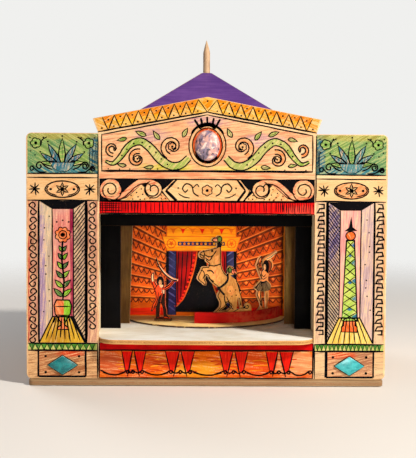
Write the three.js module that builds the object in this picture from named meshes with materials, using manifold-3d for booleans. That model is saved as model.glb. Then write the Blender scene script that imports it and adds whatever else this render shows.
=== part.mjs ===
// A table-top toy theatre in plywood: a painted proscenium front, a box behind it, a pyramid roof,
// and a revolving stage that carries a circus scene of flat cut-out figures.
// The wooden rod that shows above the roof is the top of the spindle that turns the stage.
// Millimetres, +Z up. The front faces -Y. The origin is the middle of the footprint, on the table.

import * as THREE from "three";
import { mergeVertices } from "three/addons/utils/BufferGeometryUtils.js";
import Module from "manifold-3d";

const wasm = await Module();
wasm.setup();

// Sheet stock and gaps
const ply = 3;
const thin_ply = 1.5;
const stage_ply = 2.5;
const disc_card = 0.8;
const roof_ply = 2;
const glue_line = 0.1;
const running_gap = 0.35;
const under_disc_gap = 0.2;
const cut_overrun = 5;

// Front board
const front_width = 200;
const opening_width = 119.8;
const opening_height = 71.4;
const tower_height = 136.6;
const corner_radius = 3;
const cornice_overhang = 3.4;
const cornice_end_rise = 8;
const cornice_end_foot = 0.6;
const apex_rise = 20.2;

// Base plate
const base_width = 197;
const base_ledge = 4;
const base_rear_ledge = 2;

// Box behind the front board
const box_inner_width = 124;
const wall_height = 122.7;
const cleat_side = 6;
const rear_rail_low_height = 20;
const rear_rail_high_height = 15;

// Stage floor
const stage_height = 26.2;
const lip_reach = 10;
const lip_shoulder_reach = 8.5;
const lip_corner_radius = 11;
const lip_side_gap = 0.3;

// Roof
const eaves_setback = 8;
const eaves_side = 156;
const eaves_rear_overhang = 6;
const roof_rise = 53.4;
const roof_top_flat = 6;
const apex_block_side = 14;
const apex_block_height = 10;

// Wings and border that mask the sides and the top of the scene
const wing_depth = 35;
const wing_height = 92.5;
const wing_left_width = 11.8;
const wing_right_width = 9.7;
const border_drop = 32;
const inner_wing_depth = 55;
const inner_wing_ply = 2;
const inner_wing_left_top_width = 18.4;
const inner_wing_left_foot_width = 15.8;
const inner_wing_right_width = 14;

// Spindle and its bearings
const spindle_diameter = 4.3;
const spindle_tip_height = 200.7;
const spindle_point_length = 8;
const foot_bearing_side = 18;
const foot_bearing_height = 8;
const foot_socket_floor = 2;
const hub_width = 14;
const hub_depth = 7;
const hub_height = 6;

// Revolving stage
const disc_radius = 51;
const backdrop_inset = 0.5;
const backdrop_width = 2 * (disc_radius - backdrop_inset);
const backdrop_headroom = 12.6;
const brace_reach = 13;
const brace_height = 26;
const brace_spacing = 62;
const curb_height = 6.6;
const curb_radius = 50.5;
const curb_centre_setback = 13.5;
const curb_left_reach = 6.8;

// Figures, with their places measured from the spindle
const figure_ply = 1.5;
const horse_width = 35.5;
const horse_height = 52.8;
const horse_x = 16.3;
const dancer_width = 16.2;
const dancer_height = 40.7;
const dancer_x = 35.8;
const dancer_y = -10;
const dancer_turn = THREE.MathUtils.degToRad(25);
const ringmaster_width = 17;
const ringmaster_height = 37.7;
const ringmaster_x = -25.9;
const ringmaster_y = -25.4;
const foot_width = 11;
const foot_depth = 5;
const foot_height = 1.2;

// Ornaments set on the front board
const stone_width = 13.8;
const stone_height = 16.8;
const stone_dome = 2.4;
const stone_pocket = 1.2;
const stone_drop_from_apex = 26.8;
const lozenge_width = 16.6;
const lozenge_height = 10.6;
const lozenge_thickness = 1;
const lozenge_centre_height = 7.6;

// How finely round pieces are faceted
const round_steps = 24;
const disc_steps = 96;
const arc_steps = 20;
const spline_steps = 3;

// Levels and places worked out from the sizes above
const base_top = ply;
const front_foot = base_top + glue_line;
const tower_top = front_foot + tower_height;
const stage_under = stage_height - stage_ply;
const opening_foot = stage_under - glue_line;
const opening_head = opening_foot + opening_height;
const apex_height = tower_top + apex_rise;
const wall_foot = front_foot;
const wall_top = wall_foot + wall_height;
const eaves_under = wall_top + glue_line;
const eaves_top = eaves_under + ply;
const roof_foot = eaves_top + glue_line;

const total_depth = lip_reach + eaves_setback + eaves_side;
const front_y = lip_reach - total_depth / 2;
const front_back_y = front_y + ply;
const behind_front_y = front_back_y + glue_line;
const eaves_front_y = front_y + eaves_setback;
const eaves_back_y = eaves_front_y + eaves_side;
const box_back_y = eaves_back_y - eaves_rear_overhang;
const axis_y = (eaves_front_y + eaves_back_y) / 2;
const inner_half = box_inner_width / 2;
const stage_half = inner_half - glue_line;

const disc_under = stage_height + under_disc_gap;
const disc_top = disc_under + disc_card;
const spindle_radius = spindle_diameter / 2;
const bore_radius = spindle_radius + running_gap;
const glued_bore_radius = spindle_radius + glue_line;

// Paints and woods
const wood = (color, roughness = 0.7) => new THREE.MeshStandardMaterial({ color, roughness, metalness: 0 });
const raw_ply = wood(0xc89a62);
const painted_front = wood(0xe8b98a);
const white_floor = wood(0xeee8dd);
const black_paint = wood(0x0b0b0d, 0.85);
const gold_brown = wood(0x5c4220);
const purple_paint = wood(0x5b2a9a);
const scene_orange = wood(0xd2691e);
const ring_red = wood(0xa01a1a);
const sand = wood(0xe3cfa2);
const lilac_stone = wood(0xb7a3c4, 0.25);
const teal_chip = wood(0x1f9aa0, 0.3);
const horse_cream = wood(0xe0bd80);
const coat_red = wood(0xc6402a);
const dress_tan = wood(0xb98a58);

// A three.js geometry as a closed manifold solid, for cutting and joining.
function solidOf(geometry) {
  const bare = geometry.index ? geometry.toNonIndexed() : geometry.clone();
  bare.deleteAttribute("normal");
  bare.deleteAttribute("uv");
  const merged = mergeVertices(bare);
  const vertProperties = new Float32Array(merged.attributes.position.array);
  const triVerts = new Uint32Array(merged.index.array);
  return new wasm.Manifold(new wasm.Mesh({ numProp: 3, vertProperties, triVerts }));
}

// A manifold solid back as a three.js geometry.
function geometryOf(solid) {
  const mesh = solid.getMesh();
  const places = new Float32Array(mesh.vertProperties);
  const geometry = new THREE.BufferGeometry();
  geometry.setAttribute("position", new THREE.BufferAttribute(places, mesh.numProp));
  geometry.setIndex(new THREE.BufferAttribute(new Uint32Array(mesh.triVerts), 1));
  geometry.computeVertexNormals();
  return geometry;
}

// What is left of a body when every tool has been taken out of it.
function cut(body, ...tools) {
  const left = tools.reduce((rest, tool) => rest.subtract(solidOf(tool)), solidOf(body));
  return geometryOf(left);
}

// What two bodies have in common.
const common = (body, tool) => geometryOf(solidOf(body).intersect(solidOf(tool)));

// A box given by its two corners.
function block(x0, x1, y0, y1, z0, z1) {
  const geometry = new THREE.BoxGeometry(x1 - x0, y1 - y0, z1 - z0);
  geometry.translate((x0 + x1) / 2, (y0 + y1) / 2, (z0 + z1) / 2);
  return geometry;
}

// A round bar or hole along Z.
function upright(x, y, z0, z1, radius, steps = round_steps) {
  const geometry = new THREE.CylinderGeometry(radius, radius, z1 - z0, steps);
  geometry.rotateX(Math.PI / 2);
  geometry.translate(x, y, (z0 + z1) / 2);
  return geometry;
}

// A sheet sawn to an outline drawn in X and Z, standing with its front face at y0.
function standing(shape, y0, thickness, curve_steps = arc_steps) {
  const geometry = new THREE.ExtrudeGeometry(shape, {
    depth: thickness,
    bevelEnabled: false,
    curveSegments: curve_steps,
  });
  geometry.rotateX(Math.PI / 2);
  geometry.translate(0, y0 + thickness, 0);
  return geometry;
}

// A sheet sawn to an outline drawn in X and Y, lying with its underside at z0.
function lying(shape, z0, thickness, curve_steps = arc_steps) {
  const geometry = new THREE.ExtrudeGeometry(shape, {
    depth: thickness,
    bevelEnabled: false,
    curveSegments: curve_steps,
  });
  geometry.translate(0, 0, z0);
  return geometry;
}

// A straight-sided outline through a list of corners.
const cornered = (corners) => new THREE.Shape(corners.map(([a, b]) => new THREE.Vector2(a, b)));

const theatre = new THREE.Group();

function piece(name, geometry, material, parent = theatre) {
  const mesh = new THREE.Mesh(geometry, material);
  mesh.name = name;
  parent.add(mesh);
  return mesh;
}

// Base plate, with rounded corners
function roundedRectangle(x0, x1, y0, y1, radius) {
  const shape = new THREE.Shape();
  shape.moveTo(x0 + radius, y0);
  shape.lineTo(x1 - radius, y0);
  shape.absarc(x1 - radius, y0 + radius, radius, -Math.PI / 2, 0);
  shape.lineTo(x1, y1 - radius);
  shape.absarc(x1 - radius, y1 - radius, radius, 0, Math.PI / 2);
  shape.lineTo(x0 + radius, y1);
  shape.absarc(x0 + radius, y1 - radius, radius, Math.PI / 2, Math.PI);
  shape.lineTo(x0, y0 + radius);
  shape.absarc(x0 + radius, y0 + radius, radius, Math.PI, Math.PI * 1.5);
  return shape;
}

const base_outline = roundedRectangle(
  -base_width / 2,
  base_width / 2,
  front_y - base_ledge,
  box_back_y + base_rear_ledge,
  corner_radius,
);
piece("base_plate", lying(base_outline, 0, ply, 6), raw_ply);

// Front board: two towers, the pediment between them, and the stage opening
const half_front = front_width / 2;
const half_opening = opening_width / 2;
const cornice_foot = tower_top + cornice_end_foot;
const cornice_top = tower_top + cornice_end_rise;

const corner_x = half_front - corner_radius;
const low_corner_z = front_foot + corner_radius;
const high_corner_z = tower_top - corner_radius;

const front_outline = new THREE.Shape();
front_outline.moveTo(-corner_x, front_foot);
front_outline.lineTo(corner_x, front_foot);
front_outline.absarc(corner_x, low_corner_z, corner_radius, -Math.PI / 2, 0);
front_outline.lineTo(half_front, high_corner_z);
front_outline.absarc(corner_x, high_corner_z, corner_radius, 0, Math.PI / 2);
front_outline.lineTo(half_opening + cornice_end_foot, tower_top);
front_outline.lineTo(half_opening + cornice_end_foot, cornice_foot);
front_outline.lineTo(half_opening + cornice_overhang, cornice_top);
front_outline.lineTo(0, apex_height);
front_outline.lineTo(-half_opening - cornice_overhang, cornice_top);
front_outline.lineTo(-half_opening - cornice_end_foot, cornice_foot);
front_outline.lineTo(-half_opening - cornice_end_foot, tower_top);
front_outline.lineTo(-corner_x, tower_top);
front_outline.absarc(-corner_x, high_corner_z, corner_radius, Math.PI / 2, Math.PI);
front_outline.lineTo(-half_front, low_corner_z);
front_outline.absarc(-corner_x, low_corner_z, corner_radius, Math.PI, Math.PI * 1.5);

const stage_opening = cornered([
  [-half_opening, opening_foot],
  [-half_opening, opening_head],
  [half_opening, opening_head],
  [half_opening, opening_foot],
]);
front_outline.holes.push(stage_opening);

// Oval in the plane of the front board, as a disc along Y that is widened to its two diameters
function oval(width, height, y0, y1, z) {
  const geometry = new THREE.CylinderGeometry(1, 1, y1 - y0, round_steps);
  geometry.scale(width / 2, 1, height / 2);
  geometry.translate(0, (y0 + y1) / 2, z);
  return geometry;
}

const stone_z = apex_height - stone_drop_from_apex;
const pocket = oval(
  stone_width + 2 * glue_line,
  stone_height + 2 * glue_line,
  front_y - cut_overrun,
  front_y + stone_pocket,
  stone_z,
);
piece("front_board", cut(standing(front_outline, front_y, ply, 6), pocket), painted_front);

// Polished oval stone: a flat girdle in the pocket and a low dome in front of the board
const dome_rise_shares = [1, 0.97, 0.86, 0.66, 0.36];
const dome_reach_shares = [0, 0.3, 0.56, 0.78, 0.94];
const stone_profile = [new THREE.Vector2(0, -stone_pocket + glue_line)];
stone_profile.push(new THREE.Vector2(1, -stone_pocket + glue_line));
stone_profile.push(new THREE.Vector2(1, 0));
for (let i = dome_rise_shares.length - 1; i >= 0; i--) {
  stone_profile.push(new THREE.Vector2(dome_reach_shares[i], dome_rise_shares[i] * stone_dome));
}
const stone_geometry = new THREE.LatheGeometry(stone_profile, round_steps);
stone_geometry.scale(stone_width / 2, 1, stone_height / 2);
stone_geometry.rotateZ(Math.PI);
stone_geometry.translate(0, front_y, stone_z);
piece("pediment_stone", stone_geometry, lilac_stone);

// Two lozenge chips glued to the feet of the towers
const tower_mid_x = (half_front + half_opening) / 2;
function lozenge(centre_x) {
  const z = front_foot + lozenge_centre_height;
  const outline = cornered([
    [centre_x - lozenge_width / 2, z],
    [centre_x, z - lozenge_height / 2],
    [centre_x + lozenge_width / 2, z],
    [centre_x, z + lozenge_height / 2],
  ]);
  return standing(outline, front_y - glue_line - lozenge_thickness, lozenge_thickness);
}
piece("lozenge_left", lozenge(-tower_mid_x), teal_chip);
piece("lozenge_right", lozenge(tower_mid_x), teal_chip);

// Box: side walls, rails across the open back, and the cleats and battens that they are glued with
const rail_front_y = box_back_y - ply;
const cleat_back_y = rail_front_y - glue_line;
const sides = { left: -1, right: 1 };

// A block on one side of the middle, given by its distances from the middle.
const sideBlock = (side, near, far, y0, y1, z0, z1) =>
  block(Math.min(side * near, side * far), Math.max(side * near, side * far), y0, y1, z0, z1);

for (const [side_name, side] of Object.entries(sides)) {
  const wall_out = inner_half + ply;
  const cleat_out = inner_half - glue_line;
  const cleat_in = cleat_out - cleat_side;
  const batten_in = wall_out + glue_line;
  const batten_out = batten_in + cleat_side;
  const wall = sideBlock(side, inner_half, wall_out, behind_front_y, box_back_y, wall_foot, wall_top);
  piece("side_wall_" + side_name, wall, raw_ply);
  const floor_cleat_top = stage_under - glue_line;
  const floor_cleat = sideBlock(
    side,
    cleat_in,
    cleat_out,
    behind_front_y,
    cleat_back_y,
    floor_cleat_top - cleat_side,
    floor_cleat_top,
  );
  piece("floor_cleat_" + side_name, floor_cleat, raw_ply);
  const eaves_cleat = sideBlock(
    side,
    cleat_in,
    cleat_out,
    behind_front_y,
    cleat_back_y,
    wall_top - cleat_side,
    wall_top,
  );
  piece("eaves_cleat_" + side_name, eaves_cleat, raw_ply);
  const batten = sideBlock(
    side,
    batten_in,
    batten_out,
    behind_front_y,
    behind_front_y + cleat_side,
    wall_foot,
    wall_top - cleat_side,
  );
  piece("front_batten_" + side_name, batten, raw_ply);
}

const low_rail = block(
  -stage_half,
  stage_half,
  rail_front_y,
  box_back_y,
  wall_foot,
  Math.min(wall_foot + rear_rail_low_height, stage_under - glue_line),
);
piece("rear_rail_low", low_rail, raw_ply);
const high_rail = block(
  -stage_half,
  stage_half,
  rail_front_y,
  box_back_y,
  wall_top - rear_rail_high_height,
  wall_top,
);
piece("rear_rail_high", high_rail, raw_ply);

// Stage floor: it fills the box, and its bowed lip comes out through the opening
const lip_half = half_opening - lip_side_gap;
const lip_shoulder_y = front_y - lip_shoulder_reach;
const lip_corner_x = lip_half - lip_corner_radius;
const lip_corner_y = lip_shoulder_y + lip_corner_radius;
const lip_bow_y = lip_shoulder_y - 2 * (lip_reach - lip_shoulder_reach);

const floor_outline = new THREE.Shape();
floor_outline.moveTo(-stage_half, box_back_y);
floor_outline.lineTo(-stage_half, behind_front_y);
floor_outline.lineTo(-lip_half, behind_front_y);
floor_outline.absarc(-lip_corner_x, lip_corner_y, lip_corner_radius, Math.PI, Math.PI * 1.5);
floor_outline.quadraticCurveTo(0, lip_bow_y, lip_corner_x, lip_shoulder_y);
floor_outline.absarc(lip_corner_x, lip_corner_y, lip_corner_radius, -Math.PI / 2, 0);
floor_outline.lineTo(lip_half, behind_front_y);
floor_outline.lineTo(stage_half, behind_front_y);
floor_outline.lineTo(stage_half, box_back_y);
const floor_bore = upright(0, axis_y, stage_under - cut_overrun, stage_height + cut_overrun, bore_radius);
piece("stage_floor", cut(lying(floor_outline, stage_under, stage_ply, 12), floor_bore), white_floor);

// Eaves board: the lid of the box, bored for the spindle
const half_eaves = eaves_side / 2;
const eaves_plate = block(-half_eaves, half_eaves, eaves_front_y, eaves_back_y, eaves_under, eaves_top);
const eaves_bore = upright(0, axis_y, eaves_under - cut_overrun, eaves_top + cut_overrun, bore_radius);
piece("eaves_board", cut(eaves_plate, eaves_bore), raw_ply);

// Pyramid roof: four triangular panels, mitred at the hips and cut flat at the top round the spindle
const roof_pitch = Math.atan(roof_rise / half_eaves);
const roof_inner_drop = roof_ply / Math.cos(roof_pitch);
const roof_apex = roof_foot + roof_rise;
const roof_cut_height = roof_apex - (roof_top_flat / 2) * Math.tan(roof_pitch);

// A pyramid on a square foot, its peak over the spindle.
function pyramid(foot_half, foot_z, peak_z) {
  const geometry = new THREE.ConeGeometry(foot_half * Math.SQRT2, peak_z - foot_z, 4, 1);
  geometry.rotateY(Math.PI / 4);
  geometry.rotateX(Math.PI / 2);
  geometry.translate(0, axis_y, (foot_z + peak_z) / 2);
  return geometry;
}

const roof_outside = pyramid(half_eaves, roof_foot, roof_apex);
const hollow_run = (roof_rise - roof_inner_drop + cut_overrun) / Math.tan(roof_pitch);
const roof_hollow = pyramid(hollow_run, roof_foot - cut_overrun, roof_apex - roof_inner_drop);
const roof_top_cut = block(
  -half_eaves,
  half_eaves,
  eaves_front_y,
  eaves_back_y,
  roof_cut_height,
  roof_apex + cut_overrun,
);
const roof_bore = upright(0, axis_y, roof_foot, roof_apex + cut_overrun, bore_radius);
const roof_shell = cut(roof_outside, roof_hollow, roof_top_cut, roof_bore);

const roof_panel_turns = { front: 0, right: 1, back: 2, left: 3 };
for (const [panel_name, quarter_turns] of Object.entries(roof_panel_turns)) {
  const reach = half_eaves + cut_overrun;
  const wedge = cornered([
    [0, -glue_line],
    [-reach, -reach - glue_line],
    [reach, -reach - glue_line],
  ]);
  const slice = lying(wedge, roof_foot - cut_overrun, roof_rise + 2 * cut_overrun);
  slice.rotateZ((quarter_turns * Math.PI) / 2);
  slice.translate(0, axis_y, 0);
  piece("roof_panel_" + panel_name, common(roof_shell, slice), purple_paint);
}

// Apex block: it joins the tips of the panels from inside, and its bore steadies the spindle
const block_peak = roof_apex - roof_inner_drop - glue_line / Math.cos(roof_pitch);
const block_run = (block_peak - roof_foot) / Math.tan(roof_pitch);
const under_roof = pyramid(block_run, roof_foot, block_peak);
const block_foot = block_peak - (apex_block_side / 2) * Math.tan(roof_pitch) - apex_block_height / 2;
const block_body = block(
  -apex_block_side / 2,
  apex_block_side / 2,
  axis_y - apex_block_side / 2,
  axis_y + apex_block_side / 2,
  block_foot,
  block_foot + apex_block_height,
);
piece("apex_block", cut(common(block_body, under_roof), roof_bore), raw_ply);

// Black wings and border behind the opening, and the brown wings behind them
const wing_foot = stage_height + glue_line;
const wing_top = wing_foot + wing_height;
const wing_y = front_y + wing_depth;
const border_y = wing_y - glue_line - thin_ply;
const inner_wing_y = front_y + inner_wing_depth;

const wing_widths = { left: wing_left_width, right: wing_right_width };
for (const [side_name, side] of Object.entries(sides)) {
  const near = stage_half - wing_widths[side_name];
  const wing = sideBlock(side, near, stage_half, wing_y, wing_y + thin_ply, wing_foot, wing_top);
  piece("wing_" + side_name, wing, black_paint);
}
const border_foot = wing_top - border_drop;
const border = block(-stage_half, stage_half, border_y, border_y + thin_ply, border_foot, wing_top);
piece("border", border, black_paint);

const inner_left_outline = cornered([
  [-stage_half, wing_foot],
  [-stage_half + inner_wing_left_foot_width, wing_foot],
  [-stage_half + inner_wing_left_top_width, wing_top],
  [-stage_half, wing_top],
]);
piece("inner_wing_left", standing(inner_left_outline, inner_wing_y, inner_wing_ply), gold_brown);
const inner_right = block(
  stage_half - inner_wing_right_width,
  stage_half,
  inner_wing_y,
  inner_wing_y + inner_wing_ply,
  wing_foot,
  wing_top,
);
piece("inner_wing_right", inner_right, gold_brown);

// Foot bearing under the stage: a block with a blind socket
const bearing_top = base_top + glue_line + foot_bearing_height;
const socket_floor = base_top + glue_line + foot_socket_floor;
const bearing_half = foot_bearing_side / 2;
const bearing_body = block(
  -bearing_half,
  bearing_half,
  axis_y - bearing_half,
  axis_y + bearing_half,
  base_top + glue_line,
  bearing_top,
);
const socket = upright(0, axis_y, socket_floor, bearing_top + cut_overrun, bore_radius);
piece("foot_bearing", cut(bearing_body, socket), raw_ply);

// Revolving stage, drawn round the spindle, which stands at the origin of this group
const revolve = new THREE.Group();
revolve.position.set(0, axis_y, 0);
theatre.add(revolve);

// Spindle: a dowel whittled to a point, turned by the end that stands above the roof
const spindle_foot = socket_floor + running_gap;
const point_foot = spindle_tip_height - spindle_point_length;
const point_shoulder_share = 0.45;
const shoulder_radius_share = 0.72;
const tip_radius_share = 0.08;
const shoulder_z = point_foot + spindle_point_length * point_shoulder_share;
const spindle_profile = [
  new THREE.Vector2(0, spindle_foot),
  new THREE.Vector2(spindle_radius, spindle_foot),
  new THREE.Vector2(spindle_radius, point_foot),
  new THREE.Vector2(spindle_radius * shoulder_radius_share, shoulder_z),
  new THREE.Vector2(spindle_radius * tip_radius_share, spindle_tip_height),
  new THREE.Vector2(0, spindle_tip_height),
];
const spindle_geometry = new THREE.LatheGeometry(spindle_profile, round_steps);
spindle_geometry.rotateX(Math.PI / 2);
piece("spindle", spindle_geometry, raw_ply, revolve);

// Disc, glued on the spindle and running just above the stage floor
const disc_body = upright(0, 0, disc_under, disc_top, disc_radius, disc_steps);
const disc_bore = upright(0, 0, disc_under - cut_overrun, disc_top + cut_overrun, glued_bore_radius);
piece("stage_disc", cut(disc_body, disc_bore), sand, revolve);

// Backdrop panel across the disc, glued to the front of the spindle
const on_disc = disc_top + glue_line;
const backdrop_back_y = -spindle_radius - glue_line;
const backdrop_front_y = backdrop_back_y - thin_ply;
const backdrop_half = backdrop_width / 2;
const panel = block(
  -backdrop_half,
  backdrop_half,
  backdrop_front_y,
  backdrop_back_y,
  on_disc,
  eaves_under - backdrop_headroom,
);
piece("backdrop", panel, scene_orange, revolve);

// Hub block behind the backdrop, which ties the disc, the panel and the spindle together
const hub_front_y = backdrop_back_y + glue_line;
const hub_back_y = hub_front_y + hub_depth;
const hub_top = on_disc + hub_height;
const hub_body = block(-hub_width / 2, hub_width / 2, hub_front_y, hub_back_y, on_disc, hub_top);
const hub_bore = upright(0, 0, on_disc - cut_overrun, hub_top + cut_overrun, glued_bore_radius);
piece("hub_block", cut(hub_body, hub_bore), raw_ply, revolve);

// Two triangular braces that hold the backdrop upright from behind
function brace(x) {
  const profile = cornered([
    [0, 0],
    [brace_reach, 0],
    [0, brace_height],
  ]);
  const geometry = new THREE.ExtrudeGeometry(profile, { depth: thin_ply, bevelEnabled: false });
  geometry.rotateX(Math.PI / 2);
  geometry.rotateZ(Math.PI / 2);
  geometry.translate(x - thin_ply / 2, hub_front_y, on_disc);
  return geometry;
}
piece("brace_left", brace(-brace_spacing / 2), raw_ply, revolve);
piece("brace_right", brace(brace_spacing / 2), raw_ply, revolve);

// Ring curb: a bent strip on the disc, from the middle of its front round to the backdrop at the right
const curb_inner = curb_radius - thin_ply;
const curb_start_angle = -Math.asin(curb_left_reach / curb_radius);
const curb_end_angle = Math.acos((curb_centre_setback - backdrop_front_y + glue_line) / curb_inner);
const curb_outline = new THREE.Shape();
curb_outline.absarc(
  0,
  curb_centre_setback,
  curb_radius,
  curb_start_angle - Math.PI / 2,
  curb_end_angle - Math.PI / 2,
  false,
);
curb_outline.absarc(
  0,
  curb_centre_setback,
  curb_inner,
  curb_end_angle - Math.PI / 2,
  curb_start_angle - Math.PI / 2,
  true,
);
piece("ring_curb", lying(curb_outline, on_disc, curb_height, arc_steps), ring_red, revolve);

// A figure sawn from thin ply. Each run of points is one smooth stretch, and the runs meet at corners.
// Points are shares of the figure's width and height, from its lower left.
function drawRuns(path, run_shares, width, height, foot_z) {
  run_shares.forEach((run, index) => {
    const points = run.map(([across, up]) => new THREE.Vector2((across - 0.5) * width, foot_z + up * height));
    if (index === 0) path.moveTo(points[0].x, points[0].y);
    else path.lineTo(points[0].x, points[0].y);
    if (points.length === 2) path.lineTo(points[1].x, points[1].y);
    if (points.length > 2) path.splineThru(points.slice(1));
  });
  return path;
}

function figure(run_shares, gap_shares, width, height, foot_z) {
  const outline = drawRuns(new THREE.Shape(), run_shares, width, height, foot_z);
  for (const gap of gap_shares) {
    outline.holes.push(drawRuns(new THREE.Path(), [gap], width, height, foot_z));
  }
  return standing(outline, -figure_ply / 2, figure_ply, spline_steps);
}

// Middle of the strip that a figure stands on, as a distance from the figure's own middle.
const footingShift = ([first, last], width) => ((first[0] + last[0]) / 2 - 0.5) * width;

// Rearing horse with a head plume and a saddle plume. Its foot strip is glued behind the curb.
const horse_run_shares = [
  [[0.3, 0], [1, 0]],
  [[1, 0.14], [0.99, 0.18], [0.95, 0.21], [0.9, 0.21], [0.87, 0.18], [0.86, 0.16]],
  [[0.86, 0.16], [0.82, 0.18], [0.81, 0.24], [0.8, 0.3], [0.8, 0.36]],
  [[0.8, 0.36], [0.77, 0.43], [0.7, 0.49], [0.6, 0.54]],
  [
    [0.6, 0.54], [0.66, 0.55], [0.72, 0.56], [0.72, 0.59], [0.67, 0.61], [0.65, 0.64],
    [0.58, 0.65], [0.55, 0.61], [0.56, 0.57], [0.53, 0.55],
  ],
  [[0.53, 0.55], [0.47, 0.6], [0.44, 0.66], [0.43, 0.74], [0.43, 0.86]],
  [
    [0.43, 0.88], [0.46, 0.91], [0.44, 0.94], [0.45, 0.97], [0.42, 1], [0.36, 1],
    [0.33, 0.98], [0.28, 0.98], [0.25, 0.95], [0.28, 0.93], [0.34, 0.92], [0.35, 0.87],
  ],
  [[0.34, 0.87], [0.23, 0.85], [0.08, 0.83], [0.03, 0.8], [0.04, 0.76], [0.09, 0.74], [0.15, 0.74]],
  [[0.15, 0.74], [0.15, 0.71], [0.21, 0.68], [0.19, 0.65]],
  [[0.19, 0.65], [0.09, 0.65], [0.06, 0.61], [0, 0.53], [0.03, 0.49], [0.09, 0.46]],
  [[0.09, 0.46], [0.12, 0.44], [0.16, 0.44], [0.17, 0.47]],
  [[0.14, 0.5], [0.16, 0.55], [0.19, 0.54]],
  [[0.19, 0.54], [0.23, 0.49], [0.29, 0.45], [0.35, 0.42], [0.41, 0.38]],
  [[0.41, 0.38], [0.36, 0.31], [0.41, 0.24], [0.4, 0.18], [0.3, 0.12]],
];
const horse_gap_shares = [
  [[0.41, 0.14], [0.51, 0.18], [0.55, 0.23], [0.62, 0.19], [0.54, 0.14]],
  [[0.72, 0.15], [0.73, 0.24], [0.75, 0.29], [0.77, 0.23], [0.79, 0.15]],
];
const horse = piece(
  "horse",
  figure(horse_run_shares, horse_gap_shares, horse_width, horse_height, on_disc),
  horse_cream,
  revolve,
);
const horse_strip_half = ((horse_run_shares[0][1][0] - horse_run_shares[0][0][0]) / 2) * horse_width;
const horse_strip_front = Math.sqrt((curb_inner - glue_line) ** 2 - horse_strip_half ** 2);
const horse_radius = horse_strip_front - figure_ply / 2;
const horse_angle = Math.asin(horse_x / horse_radius);
const horse_shift = footingShift(horse_run_shares[0], horse_width);
horse.position.set(
  horse_x - horse_shift * Math.cos(horse_angle),
  curb_centre_setback - horse_radius * Math.cos(horse_angle) - horse_shift * Math.sin(horse_angle),
  0,
);
horse.rotation.z = horse_angle;

// A figure that stands by itself, on a small wooden foot that is glued to the disc
const foot_corner_radius = foot_depth / 4;
const foot_outline = roundedRectangle(
  -foot_width / 2,
  foot_width / 2,
  -foot_depth / 2,
  foot_depth / 2,
  foot_corner_radius,
);
const on_foot = on_disc + foot_height + glue_line;

function standOnFoot(name, run_shares, gap_shares, width, height, material, x, y, turn) {
  const cutout = piece(name, figure(run_shares, gap_shares, width, height, on_foot), material, revolve);
  const shift = footingShift(run_shares[0], width);
  cutout.position.set(x - shift * Math.cos(turn), y - shift * Math.sin(turn), 0);
  cutout.rotation.z = turn;
  const foot = piece(name + "_foot", lying(foot_outline, on_disc, foot_height, 4), raw_ply, revolve);
  foot.position.set(x, y, 0);
  foot.rotation.z = turn;
}

// Dancer with a raised baton
const dancer_run_shares = [
  [[0.15, 0], [0.63, 0]],
  [[0.63, 0.1], [0.59, 0.15], [0.61, 0.22], [0.66, 0.3], [0.65, 0.39]],
  [[0.75, 0.43], [0.74, 0.48], [0.6, 0.55]],
  [[0.6, 0.55], [0.63, 0.62], [0.68, 0.67], [0.84, 0.76]],
  [[0.84, 0.76], [0.81, 0.83], [0.72, 0.9]],
  [[0.78, 0.92], [1, 0.98]],
  [[0.97, 1], [0.49, 0.9]],
  [[0.49, 0.9], [0.38, 0.85], [0.36, 0.78], [0.42, 0.71]],
  [[0.34, 0.67], [0.25, 0.73], [0.19, 0.79], [0.25, 0.85], [0.34, 0.92]],
  [[0.29, 0.93], [0.18, 0.88], [0.08, 0.78]],
  [[0.08, 0.78], [0.15, 0.71], [0.24, 0.62], [0.32, 0.56]],
  [[0.32, 0.56], [0.15, 0.5], [0, 0.44]],
  [[0.06, 0.41], [0.15, 0.39]],
  [[0.15, 0.39], [0.12, 0.32], [0.23, 0.23], [0.28, 0.15], [0.15, 0.09]],
];
const dancer_gap_shares = [
  [
    [0.39, 0.11], [0.37, 0.2], [0.32, 0.3], [0.33, 0.38], [0.47, 0.38], [0.49, 0.28],
    [0.51, 0.18], [0.52, 0.11],
  ],
  [[0.63, 0.72], [0.72, 0.77], [0.68, 0.83], [0.63, 0.87], [0.62, 0.79]],
];
standOnFoot(
  "dancer",
  dancer_run_shares,
  dancer_gap_shares,
  dancer_width,
  dancer_height,
  dress_tan,
  dancer_x,
  dancer_y,
  dancer_turn,
);

// Ringmaster with a long curved whip
const ringmaster_run_shares = [
  [[0.19, 0], [0.72, 0]],
  [[0.69, 0.02], [0.6, 0.06], [0.59, 0.14], [0.54, 0.22], [0.53, 0.31], [0.54, 0.42]],
  [[0.54, 0.47], [0.68, 0.5], [0.8, 0.56], [0.86, 0.6]],
  [[0.99, 0.61], [1, 0.64]],
  [[1, 0.64], [0.83, 0.66], [0.63, 0.72], [0.43, 0.81], [0.3, 0.89], [0.21, 1]],
  [[0.18, 0.99], [0.26, 0.87], [0.41, 0.75], [0.58, 0.67], [0.76, 0.61]],
  [[0.76, 0.61], [0.65, 0.56], [0.49, 0.51]],
  [
    [0.49, 0.51], [0.5, 0.57], [0.48, 0.64], [0.41, 0.69], [0.28, 0.69], [0.21, 0.64],
    [0.21, 0.58], [0.25, 0.54],
  ],
  [[0.25, 0.54], [0.19, 0.58], [0.14, 0.64], [0.14, 0.74]],
  [[0.11, 0.76], [0.02, 0.73], [0, 0.65], [0.06, 0.54], [0.16, 0.42]],
  [[0.16, 0.42], [0.17, 0.33], [0.07, 0.24], [0, 0.13]],
  [[0.05, 0.11], [0.19, 0.19]],
];
const ringmaster_gap_shares = [
  [[0.34, 0.03], [0.35, 0.14], [0.35, 0.26], [0.44, 0.15], [0.46, 0.03]],
];
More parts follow.
